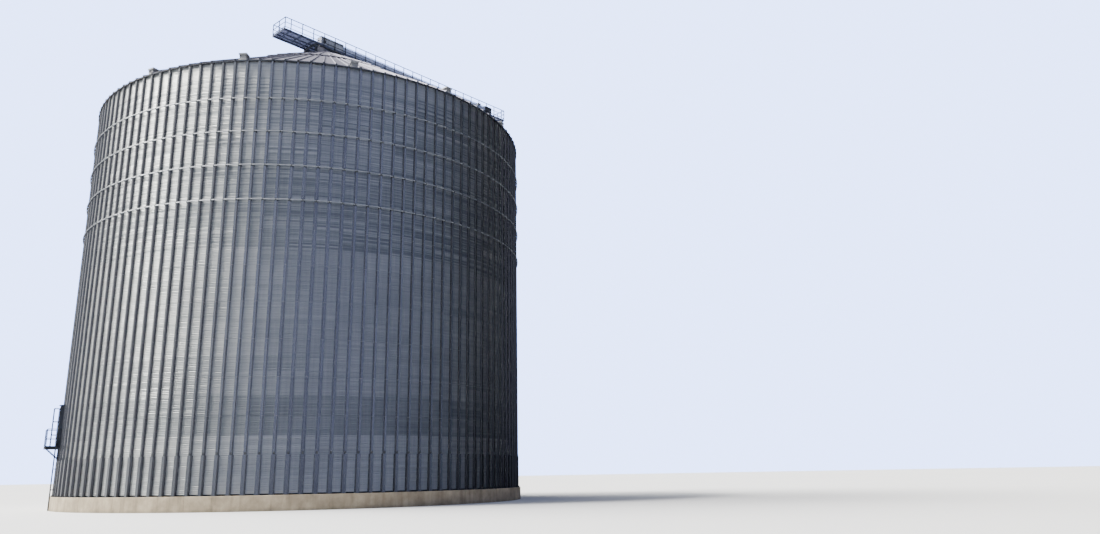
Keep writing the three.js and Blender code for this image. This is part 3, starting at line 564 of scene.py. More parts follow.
def makeWallSheets():
    sheetsAround = silo["panels"] // silo["panelsPerSheet"]
    stagger = 2 * panelAngle
    course = 0
    for i, group in enumerate(courseGroups):
        foot = wall["footClearance"] if course == 0 else -wall["lap"]
        bm = startSheet(foot)
        bm.transform(Matrix.Translation((0, 0, foundationTop + course * silo["courseHeight"])))
        growPiece(group["name"], ringTree, bm, group["finish"], {
            "Around": sheetsAround, "First Angle": halfPanel + stagger * (course % 2),
            "Angle Step": silo["panelsPerSheet"] * panelAngle, "Levels": group["courses"],
            "Level Pitch": silo["courseHeight"], "Level Turn": stagger * (1 - 2 * (course % 2)),
            "Tone": group["tone"], "Tone Spread": 0.16, "Seed": 11 + i,
        }, ["wall_sector_%d" % s for s in range(1, 9)] if i == 0 else (), sharpAngle=60)
        course += group["courses"]


makeWallSheets()
print("wall sheets made")


# Stiffeners: open hat sections on the wall's crests
lightHat = {"outer": 16.160, "base": 0.240, "face": 0.105, "flange": 0.045, "steel": 0.004}
heavyHat = {"outer": 16.195, "base": 0.310, "face": 0.180, "flange": 0.040, "steel": 0.006}
stiffeners = {
    "heavyCourses": 2,
    "plate": 0.015,           # foot plate under the heavy section
    "lightLap": 0.060,        # the light section starts this far inside the heavy one
    "lightCourses": 2,        # courses in one length of the light section
    "joint": 0.008,
    "boltsPerCourse": 2,
}
heavyTop = foundationTop + stiffeners["heavyCourses"] * silo["courseHeight"]


# The hat's outline in plan, with X outwards
def hatOutline(hat):
    seat, outer, steel = silo["wallRadius"], hat["outer"], hat["steel"]
    edge, face = hat["base"] / 2, hat["face"] / 2
    web = edge - hat["flange"]
    half = [(seat + steel, edge), (seat + steel, web), (outer, face)]
    back = [(outer - steel, face - steel), (seat, web - steel), (seat, edge)]
    return half + [(x, -y) for x, y in half[::-1]] + [(x, -y) for x, y in back[::-1]] + back


def startHat(hat, bottom, top):
    bm = bmesh.new()
    paintedShadeLayer = bm.faces.layers.float.new("side")
    addPrism(bm, [(x, y, bottom) for x, y in hatOutline(hat)], (0, 0, top - bottom))
    bmesh.ops.recalc_face_normals(bm, faces=bm.faces)
    # Painted shade on the sides: full on faces that look towards -Y, weaker on faces that look towards +Y
    for face in bm.faces:
        if abs(face.normal.y) > 0.8:
            face[paintedShadeLayer] = 0.7 if face.normal.y > 0 else 1.0
    return bm


everyStiffener = {"Around": silo["panels"], "First Angle": halfPanel, "Angle Step": panelAngle}


def makeStiffeners():
    heavy = startHat(heavyHat, foundationTop + stiffeners["plate"], heavyTop)
    growPiece("heavyStiffeners", ringTree, heavy, sectionFinish,
              {**everyStiffener, "Tone Spread": 0.25, "Seed": 21})
    start = heavyTop - stiffeners["lightLap"]
    lengths = (silo["courses"] - stiffeners["heavyCourses"]) // stiffeners["lightCourses"]
    pitch = (rimZ - start) / lengths
    light = startHat(lightHat, start, start + pitch - stiffeners["joint"])
    growPiece("lightStiffeners", ringTree, light, sectionFinish,
              {**everyStiffener, "Levels": lengths, "Level Pitch": pitch, "Tone Spread": 0.3, "Seed": 22})


# A foot plate with two anchors, and the splice plate where the light section leaves the heavy one
footPlate = {"inner": 16.03, "outer": 16.275, "half": 0.16, "nut": 0.022, "rod": 0.011, "rodTop": 0.06,
             "anchor": (16.235, 0.13)}    # radius and half spacing
splicePlate = {"steel": 0.008, "half": 0.045, "below": 0.05, "above": 0.16, "bolts": (0.04, 0.11)}


def makeStiffenerEnds():
    bm = bmesh.new()
    plateTop = foundationTop + stiffeners["plate"]
    half, nut = footPlate["half"], footPlate["nut"]
    addBox(bm, (footPlate["inner"], -half, foundationTop + contactGap), (footPlate["outer"], half, plateTop))
    for side in (-1, 1):
        seat = (footPlate["anchor"][0], side * footPlate["anchor"][1])
        addDrum(bm, seat, nut, plateTop, plateTop + nut, 6)
        addDrum(bm, seat, footPlate["rod"], plateTop + nut, plateTop + footPlate["rodTop"], 6)
    growPiece("footPlates", ringTree, bm, bracketFinish, everyStiffener)
    bm = bmesh.new()
    inner, half = lightHat["outer"], splicePlate["half"]
    outer = inner + splicePlate["steel"]
    foot, top = heavyTop - splicePlate["below"], heavyTop + splicePlate["above"]
    addBox(bm, (inner, -half, foot), (outer, half, top))
    for rise in splicePlate["bolts"]:
        addBoltHead(bm, (outer, 0.0, heavyTop + rise), (1, 0, 0), radius=0.016)
    growPiece("splicePlates", ringTree, bm, bracketFinish, everyStiffener)


# Bolt heads on both flanges of each stiffener, and along the laps between them
def makeWallBolts():
    per = stiffeners["boltsPerCourse"]
    pitch = silo["courseHeight"] / per
    heavyCourses = stiffeners["heavyCourses"]
    for name, hat, firstCourse, courses in (
            ("boltsHeavy", heavyHat, 0, heavyCourses),
            ("boltsLight", lightHat, heavyCourses, silo["courses"] - heavyCourses)):
        bm = bmesh.new()
        z = foundationTop + firstCourse * silo["courseHeight"] + pitch / 2
        for side in (-1, 1):
            y = side * (hat["base"] / 2 - hat["flange"] / 2)
            addBoltHead(bm, (silo["wallRadius"] + hat["steel"], y, z), (1, 0, 0))
        growPiece(name, ringTree, bm, fastenerFinish,
                  {**everyStiffener, "Levels": per * courses, "Level Pitch": pitch})
    bm = bmesh.new()
    seamZ = foundationTop + silo["courseHeight"]
    for share in (1 / 3, 2 / 3):
        a = panelAngle * share
        chord = silo["wallRadius"] * math.cos(halfPanel) / math.cos(a - halfPanel)
        addBoltHead(bm, pointAt(chord, a, seamZ), pointAt(1.0, halfPanel, 0), height=0.012)
    growPiece("boltsLaps", ringTree, bm, fastenerFinish,
              {**everyStiffener, "Levels": silo["courses"] - 1, "Level Pitch": silo["courseHeight"]})


makeStiffeners()
makeStiffenerEnds()
makeWallBolts()
print("stiffeners and bolts made")


# Wind rings: a round tube in saddles and straps, one at each stiffener
windRings = {"count": 4, "tube": 0.035, "sides": 12, "strap": 0.006, "strapWidth": 0.055, "lug": 0.028,
             "lugSteel": 0.010, "slack": 0.0005, "saddle": (0.15, 0.13)}    # its width and height


def makeWindRings():
    boxes = [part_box("wind_ring_%d" % (i + 1)) for i in range(windRings["count"])]
    heights = [(low.z + high.z) / 2 for low, high in boxes]
    tube = windRings["tube"]
    outer = boxes[0][1].x / math.cos(halfPanel)
    middle = outer - tube
    for i, z in enumerate(heights):
        bm = bmesh.new()
        profile = [(middle + tube * math.cos(a), z + tube * math.sin(a)) for a in turnsOf(windRings["sides"])]
        addRing(bm, profile, silo["panels"], halfPanel)
        makePiece("windRing%d" % (i + 1), bm, tubeFinish, ["wind_ring_%d" % (i + 1)])
    bm = bmesh.new()
    width, height = windRings["saddle"]
    z = heights[0]
    addBox(bm, (silo["stiffenerRadius"], -width / 2, z - height / 2),
           (middle - tube + 0.002, width / 2, z + height / 2), bevel=0.004)
    inner, strap = tube + windRings["slack"], tube + windRings["strap"]
    half = windRings["strapWidth"] / 2
    arc = [math.pi * k / 8 - math.pi / 2 for k in range(9)]
    loop = [(middle + strap * math.cos(a), -half, z + strap * math.sin(a)) for a in arc]
    loop += [(middle + inner * math.cos(a), -half, z + inner * math.sin(a)) for a in arc[::-1]]
    addPrism(bm, loop, (0, 2 * half, 0))
    for side in (-1, 1):
        low, high = sorted((z + side * tube, z + side * (tube + windRings["lug"])))
        addBox(bm, (middle - tube, -half, low), (middle - tube + windRings["lugSteel"], half, high))
    growPiece("windRingClamps", ringTree, bm, bracketFinish,
              {**everyStiffener, "Levels": windRings["count"], "Level Pitch": heights[1] - heights[0]})


makeWindRings()
print("wind rings made")


# Roof: two tiers of ribbed panels, the upper one raised where it laps over the lower
roof = {
    "eave": 16.190, "joint": 8.0,
    "lowerEnd": (7.95, 7.97),    # where the lower tier's panels and its ribs end, under the upper one
    "upper": (8.06, 0.93),       # where the upper tier's panels start and end
    "upperRibs": (8.07, 0.98),
    "sheet": 0.012,
    "lift": 0.11,             # step at the joint of the two tiers
    "lowerRib": {"halfBase": 0.048, "halfTop": 0.024, "height": 0.090},
    "upperRib": {"halfBase": 0.042, "halfTop": 0.020, "height": 0.070},
    "ribTaper": 0.6,
    "ribSunk": 0.004,
    "closure": {"half": 0.125, "outer": 8.000, "thick": 0.012},    # under the upper tier's edge, at each rib
}


# Height of the upper tier's surface, which comes down to the cone towards the peak
def upperZ(radius):
    peakEdge = silo["peakRadius"]
    return roofZ(radius) + roof["lift"] * (radius - peakEdge) / (roof["joint"] - peakEdge)


def addPan(bm, half, outer, inner, surface):
    loops = []
    for radius in (outer, inner):
        x, y, z = radius * math.cos(half), radius * math.sin(half), surface(radius)
        low = z - roof["sheet"]
        loops.append([(x, -y, z), (x, y, z), (x, y, low), (x, -y, low)])
    addLoft(bm, loops)


# A standing rib along a panel's edge at an angle, lower and narrower towards the peak
def addRib(bm, angle, outer, inner, surface, rib):
    along = Vector((math.cos(angle), math.sin(angle), 0))
    across = Vector((-math.sin(angle), math.cos(angle), 0))
    loops = []
    for radius, size in ((outer, 1.0), (inner, roof["ribTaper"])):
        base, top = rib["halfBase"] * size, rib["halfTop"] * size
        foot = along * radius + Vector((0, 0, surface(radius) - roof["ribSunk"]))
        ridge = foot + Vector((0, 0, rib["height"] * size))
        loops.append([foot - across * base, ridge - across * top, ridge + across * top, foot + across * base])
    addLoft(bm, loops)


def makeRoof():
    panEnd, ribEnd = roof["lowerEnd"]
    bm = bmesh.new()
    addPan(bm, halfPanel, roof["eave"], panEnd, roofZ)
    addRib(bm, halfPanel, roof["eave"], ribEnd, roofZ, roof["lowerRib"])
    growPiece("roofLowerTier", ringTree, bm, roofFinish, {
        "Around": silo["panels"], "Angle Step": panelAngle, "Tone Spread": 0.3, "Seed": 31},
        ["roof_sector_%d" % s for s in range(1, 9)])
    bm = bmesh.new()
    addPan(bm, panelAngle, *roof["upper"], upperZ)
    addRib(bm, panelAngle, *roof["upperRibs"], upperZ, roof["upperRib"])
    growPiece("roofUpperTier", ringTree, bm, roofFinish, {
        "Around": silo["panels"] // 2, "First Angle": halfPanel, "Angle Step": 2 * panelAngle,
        "Tone Spread": 0.2, "Seed": 32})
    closure = roof["closure"]
    outer, half = closure["outer"], closure["half"]
    bm = bmesh.new()
    addBox(bm, (outer - closure["thick"], -half, roofZ(outer) - 0.005), (outer, half, upperZ(outer) - 0.004))
    growPiece("roofClosures", ringTree, bm, roofFinish, everyStiffener)


# Eave angle: it stands on the wall's rim, closes the gap to the sheets and covers their ends. At each
# stiffener a bracket holds it, which also caps the end of the roof's rib.
# Both are dark steel, and their dark band under the roof's edge is partly painted shade.
eave = {"inner": 15.990, "leg": 16.190, "steel": 0.007, "seat": 0.008, "drop": 0.060, "cover": 0.004,
        "bracket": (0.055, 0.054),    # half width and depth
        "bracketFoot": 0.015, "bracketRise": 0.080}


def makeEave():
    inner, leg, steel = eave["inner"], eave["leg"], eave["steel"]
    outer = leg + steel
    foot, seat = rimZ - eave["drop"], rimZ + eave["seat"]
    cover = roofZ(leg) + eave["cover"]
    inside = roofZ(inner + steel) - roof["sheet"] - eave["cover"]
    bm = bmesh.new()
    addRing(bm, [(outer, foot), (outer, cover), (leg, cover), (leg, seat), (inner + steel, seat),
                 (inner + steel, inside), (inner, inside), (inner, rimZ), (leg, rimZ), (leg, foot)],
            silo["panels"], halfPanel)
    makePiece("eaveAngle", bm, darkFinish, ["eave_ring"])
    bm = bmesh.new()
    half, deep = eave["bracket"]
    face = silo["stiffenerRadius"] - 0.001
    low, high = foot + eave["bracketFoot"], roofZ(leg) + eave["bracketRise"]
    addBox(bm, (face, -half, low), (face + deep, half, high), bevel=0.004)
    growPiece("eaveBrackets", ringTree, bm, darkFinish, everyStiffener)


# Eave vents: a skirted neck with louvres under a wide hood
vents = {
    "count": 14, "firstPanel": 69, "panelsApart": 9, "radius": 15.750, "neck": 0.43, "hood": 0.53,
    "hoodHeight": 0.15, "height": 0.37,
    "skirt": (0.07, 0.05),     # how wide and how high it stands round the neck
    "louvres": 3, "louvreFoot": 0.07, "louvre": (0.022, 0.03),
    "bandProud": 0.004, "band": (0.072, 0.058),    # its edges below the hood's top
}


def makeVents():
    radius, neck, hood = vents["radius"], vents["neck"] / 2, vents["hood"] / 2
    top = roofZ(radius) + vents["height"]
    hoodFoot = top - vents["hoodHeight"]
    wide, high = vents["skirt"]
    bm = bmesh.new()
    skirt = []
    for reach, rise in ((neck + wide, 0.004), (neck + 0.004, high)):
        skirt.append([(x, y, roofZ(x) + rise) for x, y, z in squareLoop(radius, 0, reach, 0)])
    addLoft(bm, skirt)
    neckFoot = roofZ(radius + neck)
    addPrism(bm, squareLoop(radius, 0, neck, neckFoot - 0.02), (0, 0, hoodFoot + 0.04 - neckFoot))
    low = roofZ(radius) + vents["louvreFoot"]
    proud, deep = vents["louvre"]
    for i in range(vents["louvres"]):
        z = low + i * (hoodFoot - low) / vents["louvres"]
        addLoft(bm, [squareLoop(radius, 0, neck + proud, z), squareLoop(radius, 0, neck, z + deep)])
    sections = ((hood - 0.012, hoodFoot), (hood, hoodFoot + 0.008), (hood, top - 0.05),
                (hood - 0.05, top - 0.012), (hood - 0.11, top))
    addLoft(bm, [squareLoop(radius, 0, half, z) for half, z in sections])
    band = hood + vents["bandProud"]
    lower, upper = (top - drop for drop in vents["band"])
    addBox(bm, (radius - band, -band, lower), (radius + band, band, upper))
    growPiece("eaveVents", ringTree, bm, hoodFinish, {
        "Around": vents["count"], "First Angle": vents["firstPanel"] * panelAngle,
        "Angle Step": vents["panelsApart"] * panelAngle, "Tone Spread": 0.3, "Seed": 33})


# The cap over the open peak with its turned-down rim, and the collar that the conveyor's spout enters
peak = {
    "segments": 64, "lift": 0.03, "sheet": 0.015, "rimInner": 0.96,
    "stations": (silo["peakRadius"], 0.985, 0.75, 0.5, 0.25, 0.06),    # radii of the cap's rings
    "spoutX": -0.45, "collar": 0.32, "collarInner": 0.29, "collarSegments": 48, "collarSkin": 0.308,
    "bandInner": 0.309, "bands": ((0.016, 0.0), (0.19, 0.15)),    # below the collar's top
    "button": 0.075,
}


def makePeak():
    rise = peak["lift"] + peak["sheet"]
    stations = peak["stations"]
    upper = [(r, roofZ(r) + rise) for r in stations]
    lower = [(r, roofZ(r) + peak["lift"]) for r in stations[:0:-1]]
    rim = [(r, roofZ(r) + 0.001) for r in (peak["rimInner"], silo["peakRadius"])]
    bm = bmesh.new()
    addRing(bm, upper + lower + rim, peak["segments"])
    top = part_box("roof_cap")[1].z
    foot = roofZ(peak["collar"] - peak["spoutX"]) + peak["lift"]
    rings = [(peak["collarInner"], peak["collarSkin"], foot, top)]
    rings += [(peak["bandInner"], peak["collar"], top - low, top - high) for low, high in peak["bands"]]
    for inner, outer, low, high in rings:
        addRing(bm, [(inner, low), (outer, low), (outer, high), (inner, high)], peak["collarSegments"],
                centre=(peak["spoutX"], 0.0))
    addDrum(bm, (0.0, 0.0), peak["button"], roofZ(stations[-1]) + peak["lift"], roofZ(0) + rise + 0.01, 24)
    makePiece("roofCap", bm, roofFinish, ["roof_cap"])


# Shoes between the roof's sheets and the feet of the two trestles, at each foot's X and Y and its height
shoes = {"half": 0.085, "sunk": 0.008,
         "feet": ((8.0, -0.587, 32.70), (8.0, 1.535, 32.70), (15.5, -0.605, 28.26), (15.5, 1.550, 28.26))}


def makeTrestleShoes():
    bm = bmesh.new()
    for centreX, centreY, top in shoes["feet"]:
        head = squareLoop(centreX, centreY, shoes["half"], top)
        foot = [(x, y, roofZ(math.hypot(x, y)) - shoes["sunk"]) for x, y, z in head]
        addLoft(bm, [foot, head])
    makePiece("trestleShoes", bm, darkFinish)


makeRoof()
makeEave()
makeVents()
makePeak()
makeTrestleShoes()
print("roof made")


# Foundation: 64 cast lengths with a chamfered arris and a groove at each joint
foundation = {"lengths": 64, "steps": 4, "outer": 16.325, "inner": 15.700, "arris": 0.025, "groove": 0.014}


def makeFoundation():
    bm = bmesh.new()
    turn = 2 * math.pi / foundation["lengths"]
    nearEnd = foundation["groove"] / foundation["outer"]
    inner, arris, top = foundation["inner"], foundation["arris"], foundationTop
    angles = [0.0, nearEnd] + [turn * (i + 1) / foundation["steps"] for i in range(foundation["steps"] - 1)]
    angles += [turn - nearEnd, turn]
    loops = []
    for i, a in enumerate(angles):
        outer = foundation["outer"] - (foundation["groove"] if i in (0, len(angles) - 1) else 0.0)
        section = [(inner, 0), (outer, 0), (outer, top - arris), (outer - arris, top), (inner, top)]
        loops.append([pointAt(r, a, z) for r, z in section])
    addLoft(bm, loops)
    growPiece("foundationRing", ringTree, bm, concreteFinish, {
        "Around": foundation["lengths"], "First Angle": halfPanel, "Angle Step": turn, "Tone Spread": 0.3,
        "Seed": 41}, ["foundation_ring"], sharpAngle=25)


makeFoundation()
print("foundation made")


# Gallery over the roof
floorLow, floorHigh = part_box("gallery_floor")
gallery = {
    "start": floorLow.x, "end": floorHigh.x, "near": floorLow.y, "far": floorHigh.y,
    "bottom": floorLow.z, "deck": floorHigh.z,
    "beam": {"height": 0.160, "flange": 0.055, "steel": 0.008},
    "stringer": {"height": 0.120, "flange": 0.045, "steel": 0.006}, "stringers": (0.37, 0.86),
    "cross": {"height": 0.100, "web": -0.020, "flange": 0.035, "steel": 0.006},
    "firstPost": -3.650, "postPitch": 1.056, "postCount": 24,
    "plate": 0.006, "plateEdge": 0.345, "plateRibs": (-0.30, -0.08, 0.14), "spoutX": -0.45, "spoutHalf": 0.28,
    "planks": 4, "plankDepth": 0.035, "plankSteel": 0.003, "plankLength": 2.112, "plankGap": 0.003,
}
rails = {
    "tube": 0.036, "thin": 0.024, "top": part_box("gallery_railing_near")[1].z,
    "height": 1.0, "levels": (0.55, 0.14),    # middle rail and foot rail, as shares of the height
    "foot": 0.14, "footPlate": (0.05, 0.02, 0.14),    # half width, and its edges above the beam's foot
    "footSteel": 0.012, "footBolt": 0.035, "endFoot": (0.018, 0.050, 0.008),
}


# A channel section along X, with its web at y and its flanges towards the inside
def addChannel(bm, y, inward, bottom, size, start, end):
    flange, steel = inward * size["flange"], inward * size["steel"]
    top = bottom + size["height"]
    low, high = bottom + size["steel"], top - size["steel"]
    section = [(y, bottom), (y + flange, bottom), (y + flange, low), (y + steel, low),
               (y + steel, high), (y + flange, high), (y + flange, top), (y, top)]
    addPrism(bm, [(start, py, pz) for py, pz in section], (end - start, 0, 0))


def makeGalleryFloor():
    start, end, near, far = (gallery[k] for k in ("start", "end", "near", "far"))
    bottom, deck = gallery["bottom"], gallery["deck"]
    beam, stringer, cross = gallery["beam"], gallery["stringer"], gallery["cross"]
    beamTop = bottom + beam["height"]
    bm = bmesh.new()
    addChannel(bm, near, 1, bottom, beam, start, end)
    addChannel(bm, far, -1, bottom, beam, start, end)
    for y in gallery["stringers"]:
        addChannel(bm, y, 1, beamTop - stringer["height"], stringer, start, end)
    makePiece("galleryFloor", bm, galleryFinish, ["gallery_floor"])

    thick, deep = gallery["plate"], gallery["plankDepth"]
    edge, half = gallery["plateEdge"], gallery["spoutHalf"]
    hole = (gallery["spoutX"] - half, gallery["spoutX"] + half)
    bm = bmesh.new()
    for x0, x1, y0, y1 in ((start, hole[0], near, edge), (hole[1], end, near, edge), (*hole, near, -half),
                           (*hole, half, edge)):
        addBox(bm, (x0, y0, deck - thick), (x1, y1, deck))
    for y in gallery["plateRibs"]:
        for x0, x1 in ((start, hole[0]), (hole[1], end)):
            addBox(bm, (x0, y, deck - deep), (x1, y + thick, deck - thick))
    makePiece("galleryPlate", bm, deckFinish)

    width = (far - edge) / gallery["planks"]
    steel, gap = gallery["plankSteel"], gallery["plankGap"]
    count = int((end - start) / gallery["plankLength"])
    pitch = (end - start) / count
    reach = pitch * (1 - steel / gallery["plankLength"])
    bm = bmesh.new()
    for i in range(gallery["planks"]):
        left = edge + i * width + gap / 2
        right = left + width - gap
        section = [(left, -deep), (left + steel, -deep), (left + steel, -steel), (right - steel, -steel),
                   (right - steel, -deep), (right, -deep), (right, 0), (left, 0)]
        addPrism(bm, [(0, y, deck + z) for y, z in section], (reach, 0, 0))
    growPiece("galleryPlanks", rowTree, bm, deckFinish, {
        "Count": count, "Start": (start, 0, 0), "Step": (pitch, 0, 0), "Tone Spread": 0.2})

    web, flange, steel, low = cross["web"], cross["flange"], cross["steel"], beamTop - cross["height"]
    inside = near + beam["steel"]
    section = [(web, low), (flange, low), (flange, low + steel), (web + steel, low + steel),
               (web + steel, beamTop), (web, beamTop)]
    bm = bmesh.new()
    addPrism(bm, [(x, inside, z) for x, z in section], (0, far - near - 2 * beam["steel"], 0))
    growPiece("galleryCrossMembers", rowTree, bm, galleryFinish, {
        "Count": gallery["postCount"], "Start": (gallery["firstPost"], 0, 0),
        "Step": (gallery["postPitch"], 0, 0)})
    bm = bmesh.new()
    for x in (start, end - beam["steel"]):
        addBox(bm, (x, inside, bottom), (x + beam["steel"], far - beam["steel"], beamTop))
    makePiece("galleryEndPlates", bm, galleryFinish)


def makeGalleryRailings():
    near, far, deck, bottom = (gallery[k] for k in ("near", "far", "deck", "bottom"))
    tube, thin = rails["tube"], rails["thin"]
    top, foot = rails["top"] - tube, deck - rails["foot"]
    lowered = [deck + rails["height"] * level - thin for level in rails["levels"]]
    ends = (gallery["start"] + tube, gallery["end"] - tube)
    half, plateLow, plateHigh = rails["footPlate"]
    for name, y, web in (("Near", near - tube - contactGap, 1), ("Far", far + tube + contactGap, -1)):
        bm = bmesh.new()
        addTube(bm, [(x, y, top) for x in ends], tube)
        for z in lowered:
            addTube(bm, [(x, y, z) for x in ends], thin, 8)
        for x in ends:
            addTube(bm, [(x, y, foot), (x, y, top + tube * 0.6)], tube)
        makePiece("galleryRails" + name, bm, railFinish,
                  ["gallery_railing_" + name.lower()])
        bm = bmesh.new()
        addTube(bm, [(0, y, foot), (0, y, top)], tube)
        back = y + web * tube
        face = back - web * rails["footSteel"]
        addBox(bm, (-half, min(back, face), bottom + plateLow), (half, max(back, face), bottom + plateHigh))
        for x in (-rails["footBolt"], rails["footBolt"]):
            addBoltHead(bm, (x, face, bottom + (plateLow + plateHigh) / 2), (0, -web, 0), radius=0.012)
        growPiece("galleryPosts" + name, rowTree, bm, railFinish, {
            "Count": gallery["postCount"], "Start": (gallery["firstPost"], 0, 0),
            "Step": (gallery["postPitch"], 0, 0), "Tone Spread": 0.2})
    middle = (near + far) / 2
    thin, wide, high = rails["endFoot"]
    for name, x in (("Start", ends[0]), ("End", ends[1])):
        bm = bmesh.new()
        for z, radius, sides in ((top, tube, 10), *((z, rails["thin"], 8) for z in lowered)):
            addTube(bm, [(x, near - tube, z), (x, far + tube, z)], radius, sides)
        addTube(bm, [(x, middle, deck), (x, middle, top)], tube)
        addBox(bm, (x - thin, middle - wide, deck), (x + thin, middle + wide, deck + high))
        makePiece("galleryRails" + name, bm, railFinish,
                  ["gallery_railing_" + name.lower()])


makeGalleryFloor()
makeGalleryRailings()
print("gallery made")


# Conveyor: a drag chain trough with a lid, flanged lengths, a drive box and a tail box
trough = {"foot": 0.305, "side": 0.297, "swage": 0.304, "swages": (0.165, 0.360), "lid": 0.316,
          "height": 0.56, "crown": 0.014}
flanges = {"half": 0.333, "plate": 0.010, "apart": 0.018, "pitch": 2.112, "boltY": 0.318,
           "boltHeights": (0.08, 0.28, 0.48), "bolt": 0.010, "boltProud": 0.009}


def makeTrough():
    low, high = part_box("conveyor_trough")
    foot, wide, side, swage = low.z, trough["foot"], trough["side"], trough["swage"]
    lid, height = trough["lid"], trough["height"]
    right = [(wide, 0), (wide, 0.030), (side, 0.036)]
    for z in trough["swages"]:
        right += [(side, z), (swage, z + 0.008), (swage, z + 0.030), (side, z + 0.038)]
    right += [(side, height - 0.040), (lid, height - 0.038), (lid, height), (0.30, height + 0.004)]
    outline = right + [(0.0, height + trough["crown"])] + [(-y, z) for y, z in right[::-1]]
    bm = bmesh.new()
    addPrism(bm, [(low.x, y, foot + z) for y, z in outline], (high.x - low.x, 0, 0))
    makePiece("conveyorTrough", bm, conveyorFinish, ["conveyor_trough"])
    half, plate, apart, pitch = (flanges[k] for k in ("half", "plate", "apart", "pitch"))
    bolt, proud = flanges["bolt"], flanges["boltProud"]
    bm = bmesh.new()
    for x in (0.0, apart):
        addBox(bm, (x, -half, foot), (x + plate, half, high.z))
    for z in flanges["boltHeights"]:
        z += foot
        for y in (-flanges["boltY"], flanges["boltY"]):
            addBox(bm, (-proud, y - bolt, z - bolt), (apart + plate + proud, y + bolt, z + bolt))
    growPiece("conveyorFlanges", rowTree, bm, conveyorFinish, {
        "Count": int((high.x - low.x) / pitch), "Start": (low.x + pitch, 0, 0), "Step": (pitch, 0, 0),
        "Tone Spread": 0.2})


# A round housing across the conveyor, with a flange plate and four bolts at each side
bearing = {"plate": 0.13, "steel": 0.014, "bolt": 0.1, "sides": 20, "endRadius": 0.062,
           "steps": ((0.095, 0.0), (0.095, 0.026), (0.075, 0.034))}    # radius, and how far it stands out


def addBearings(bm, x, z, half, end):
    wide, steel, bolt = bearing["plate"], bearing["steel"], bearing["bolt"]
    turns = turnsOf(bearing["sides"])
    for side in (-1, 1):
        face = side * half
        low, high = sorted((face, face + side * steel))
        addBox(bm, (x - wide, low, z - wide), (x + wide, high, z + wide), bevel=0.006)
        steps = [(radius, face + side * proud) for radius, proud in bearing["steps"]]
        addLoft(bm, [[(x + radius * math.cos(a), y, z + radius * math.sin(a)) for a in turns]
                     for radius, y in steps + [(bearing["endRadius"], side * end)]])
        for boltX, boltZ, seat in squareLoop(x, z, bolt, face + side * steel):
            addBoltHead(bm, (boltX, seat, boltZ), (0, side, 0), radius=0.017, height=0.012)


# A housing of sheet steel with a lid, a foot and end flanges, and a plate on each side: a band or a hatch
housing = {
    "half": 0.335, "lip": 0.012, "lid": 0.024, "foot": 0.020, "flange": 0.014,
    "band": (0.52, 0.55), "bandEnd": 0.020,
    "hatch": (0.45, 1.15, 0.14, 0.44),    # its X range, and its heights above the foot
    "driveShaft": (-0.35, 0.34),          # X, and height above the deck
    "bearingEnd": 0.38, "tailShaft": 0.300, "tailSunk": 0.020,
    "screw": 0.012, "screwRise": 0.170, "screwSunk": 0.030,
}


def addSidePlates(bm, proud, x0, x1, z0, z1, bevel):
    half, lip = housing["half"], housing["lip"]
    for side in (-1, 1):
        y0, y1 = sorted((side * (half - lip - 0.001), side * (half + proud)))
        addBox(bm, (x0, y0, z0), (x1, y1, z1), bevel)


def addHousing(bm, low, high):
    half, lip, flange = housing["half"], housing["lip"], housing["flange"]
    addBox(bm, (low.x + lip, -half + lip, low.z), (high.x - lip, half - lip, high.z - 0.02), bevel=0.006)
    addBox(bm, (low.x, -half, high.z - housing["lid"]), (high.x, half, high.z), bevel=0.004)
    addBox(bm, (low.x, -half, low.z), (high.x, half, low.z + housing["foot"]), bevel=0.003)
    for x in (low.x, high.x - flange):
        addBox(bm, (x, -half, low.z), (x + flange, half, high.z))
    bandLow, bandHigh = housing["band"]
    start, end = low.x + housing["bandEnd"], high.x - housing["bandEnd"]
    addSidePlates(bm, -0.003, start, end, low.z + bandLow, low.z + bandHigh, bevel=0.003)


def makeDriveBox():
    low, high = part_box("conveyor_drive_box")
    x0, x1, z0, z1 = housing["hatch"]
    bm = bmesh.new()
    addHousing(bm, low, high)
    addSidePlates(bm, 0.004, x0, x1, low.z + z0, low.z + z1, bevel=0.004)
    makePiece("conveyorDriveBox", bm, driveFinish, ["conveyor_drive_box"])
    shaftX, shaftZ = housing["driveShaft"]
    bm = bmesh.new()
    addBearings(bm, shaftX, gallery["deck"] + shaftZ, housing["half"], housing["bearingEnd"])
    makePiece("conveyorDriveBearings", bm, darkFinish)


def makeTailBox():
    low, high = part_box("conveyor_tail_box")
    half = housing["half"]
    x, z = (low.x + high.x) / 2, low.z + housing["tailShaft"]
    screwZ, screwEnd = z + housing["screwRise"], high.x - housing["bandEnd"]
    bm = bmesh.new()
    addHousing(bm, low, high)
    addBearings(bm, x, z, half - housing["tailSunk"], half)
    for y in (housing["screwSunk"] - half, half - housing["screwSunk"]):    # the chain's tensioning screws
        addTube(bm, [(x, y, screwZ), (screwEnd, y, screwZ)], housing["screw"], 8)
    makePiece("conveyorTailBox", bm, darkFinish, ["conveyor_tail_box"])


makeTrough()
makeDriveBox()
makeTailBox()
print("conveyor made")


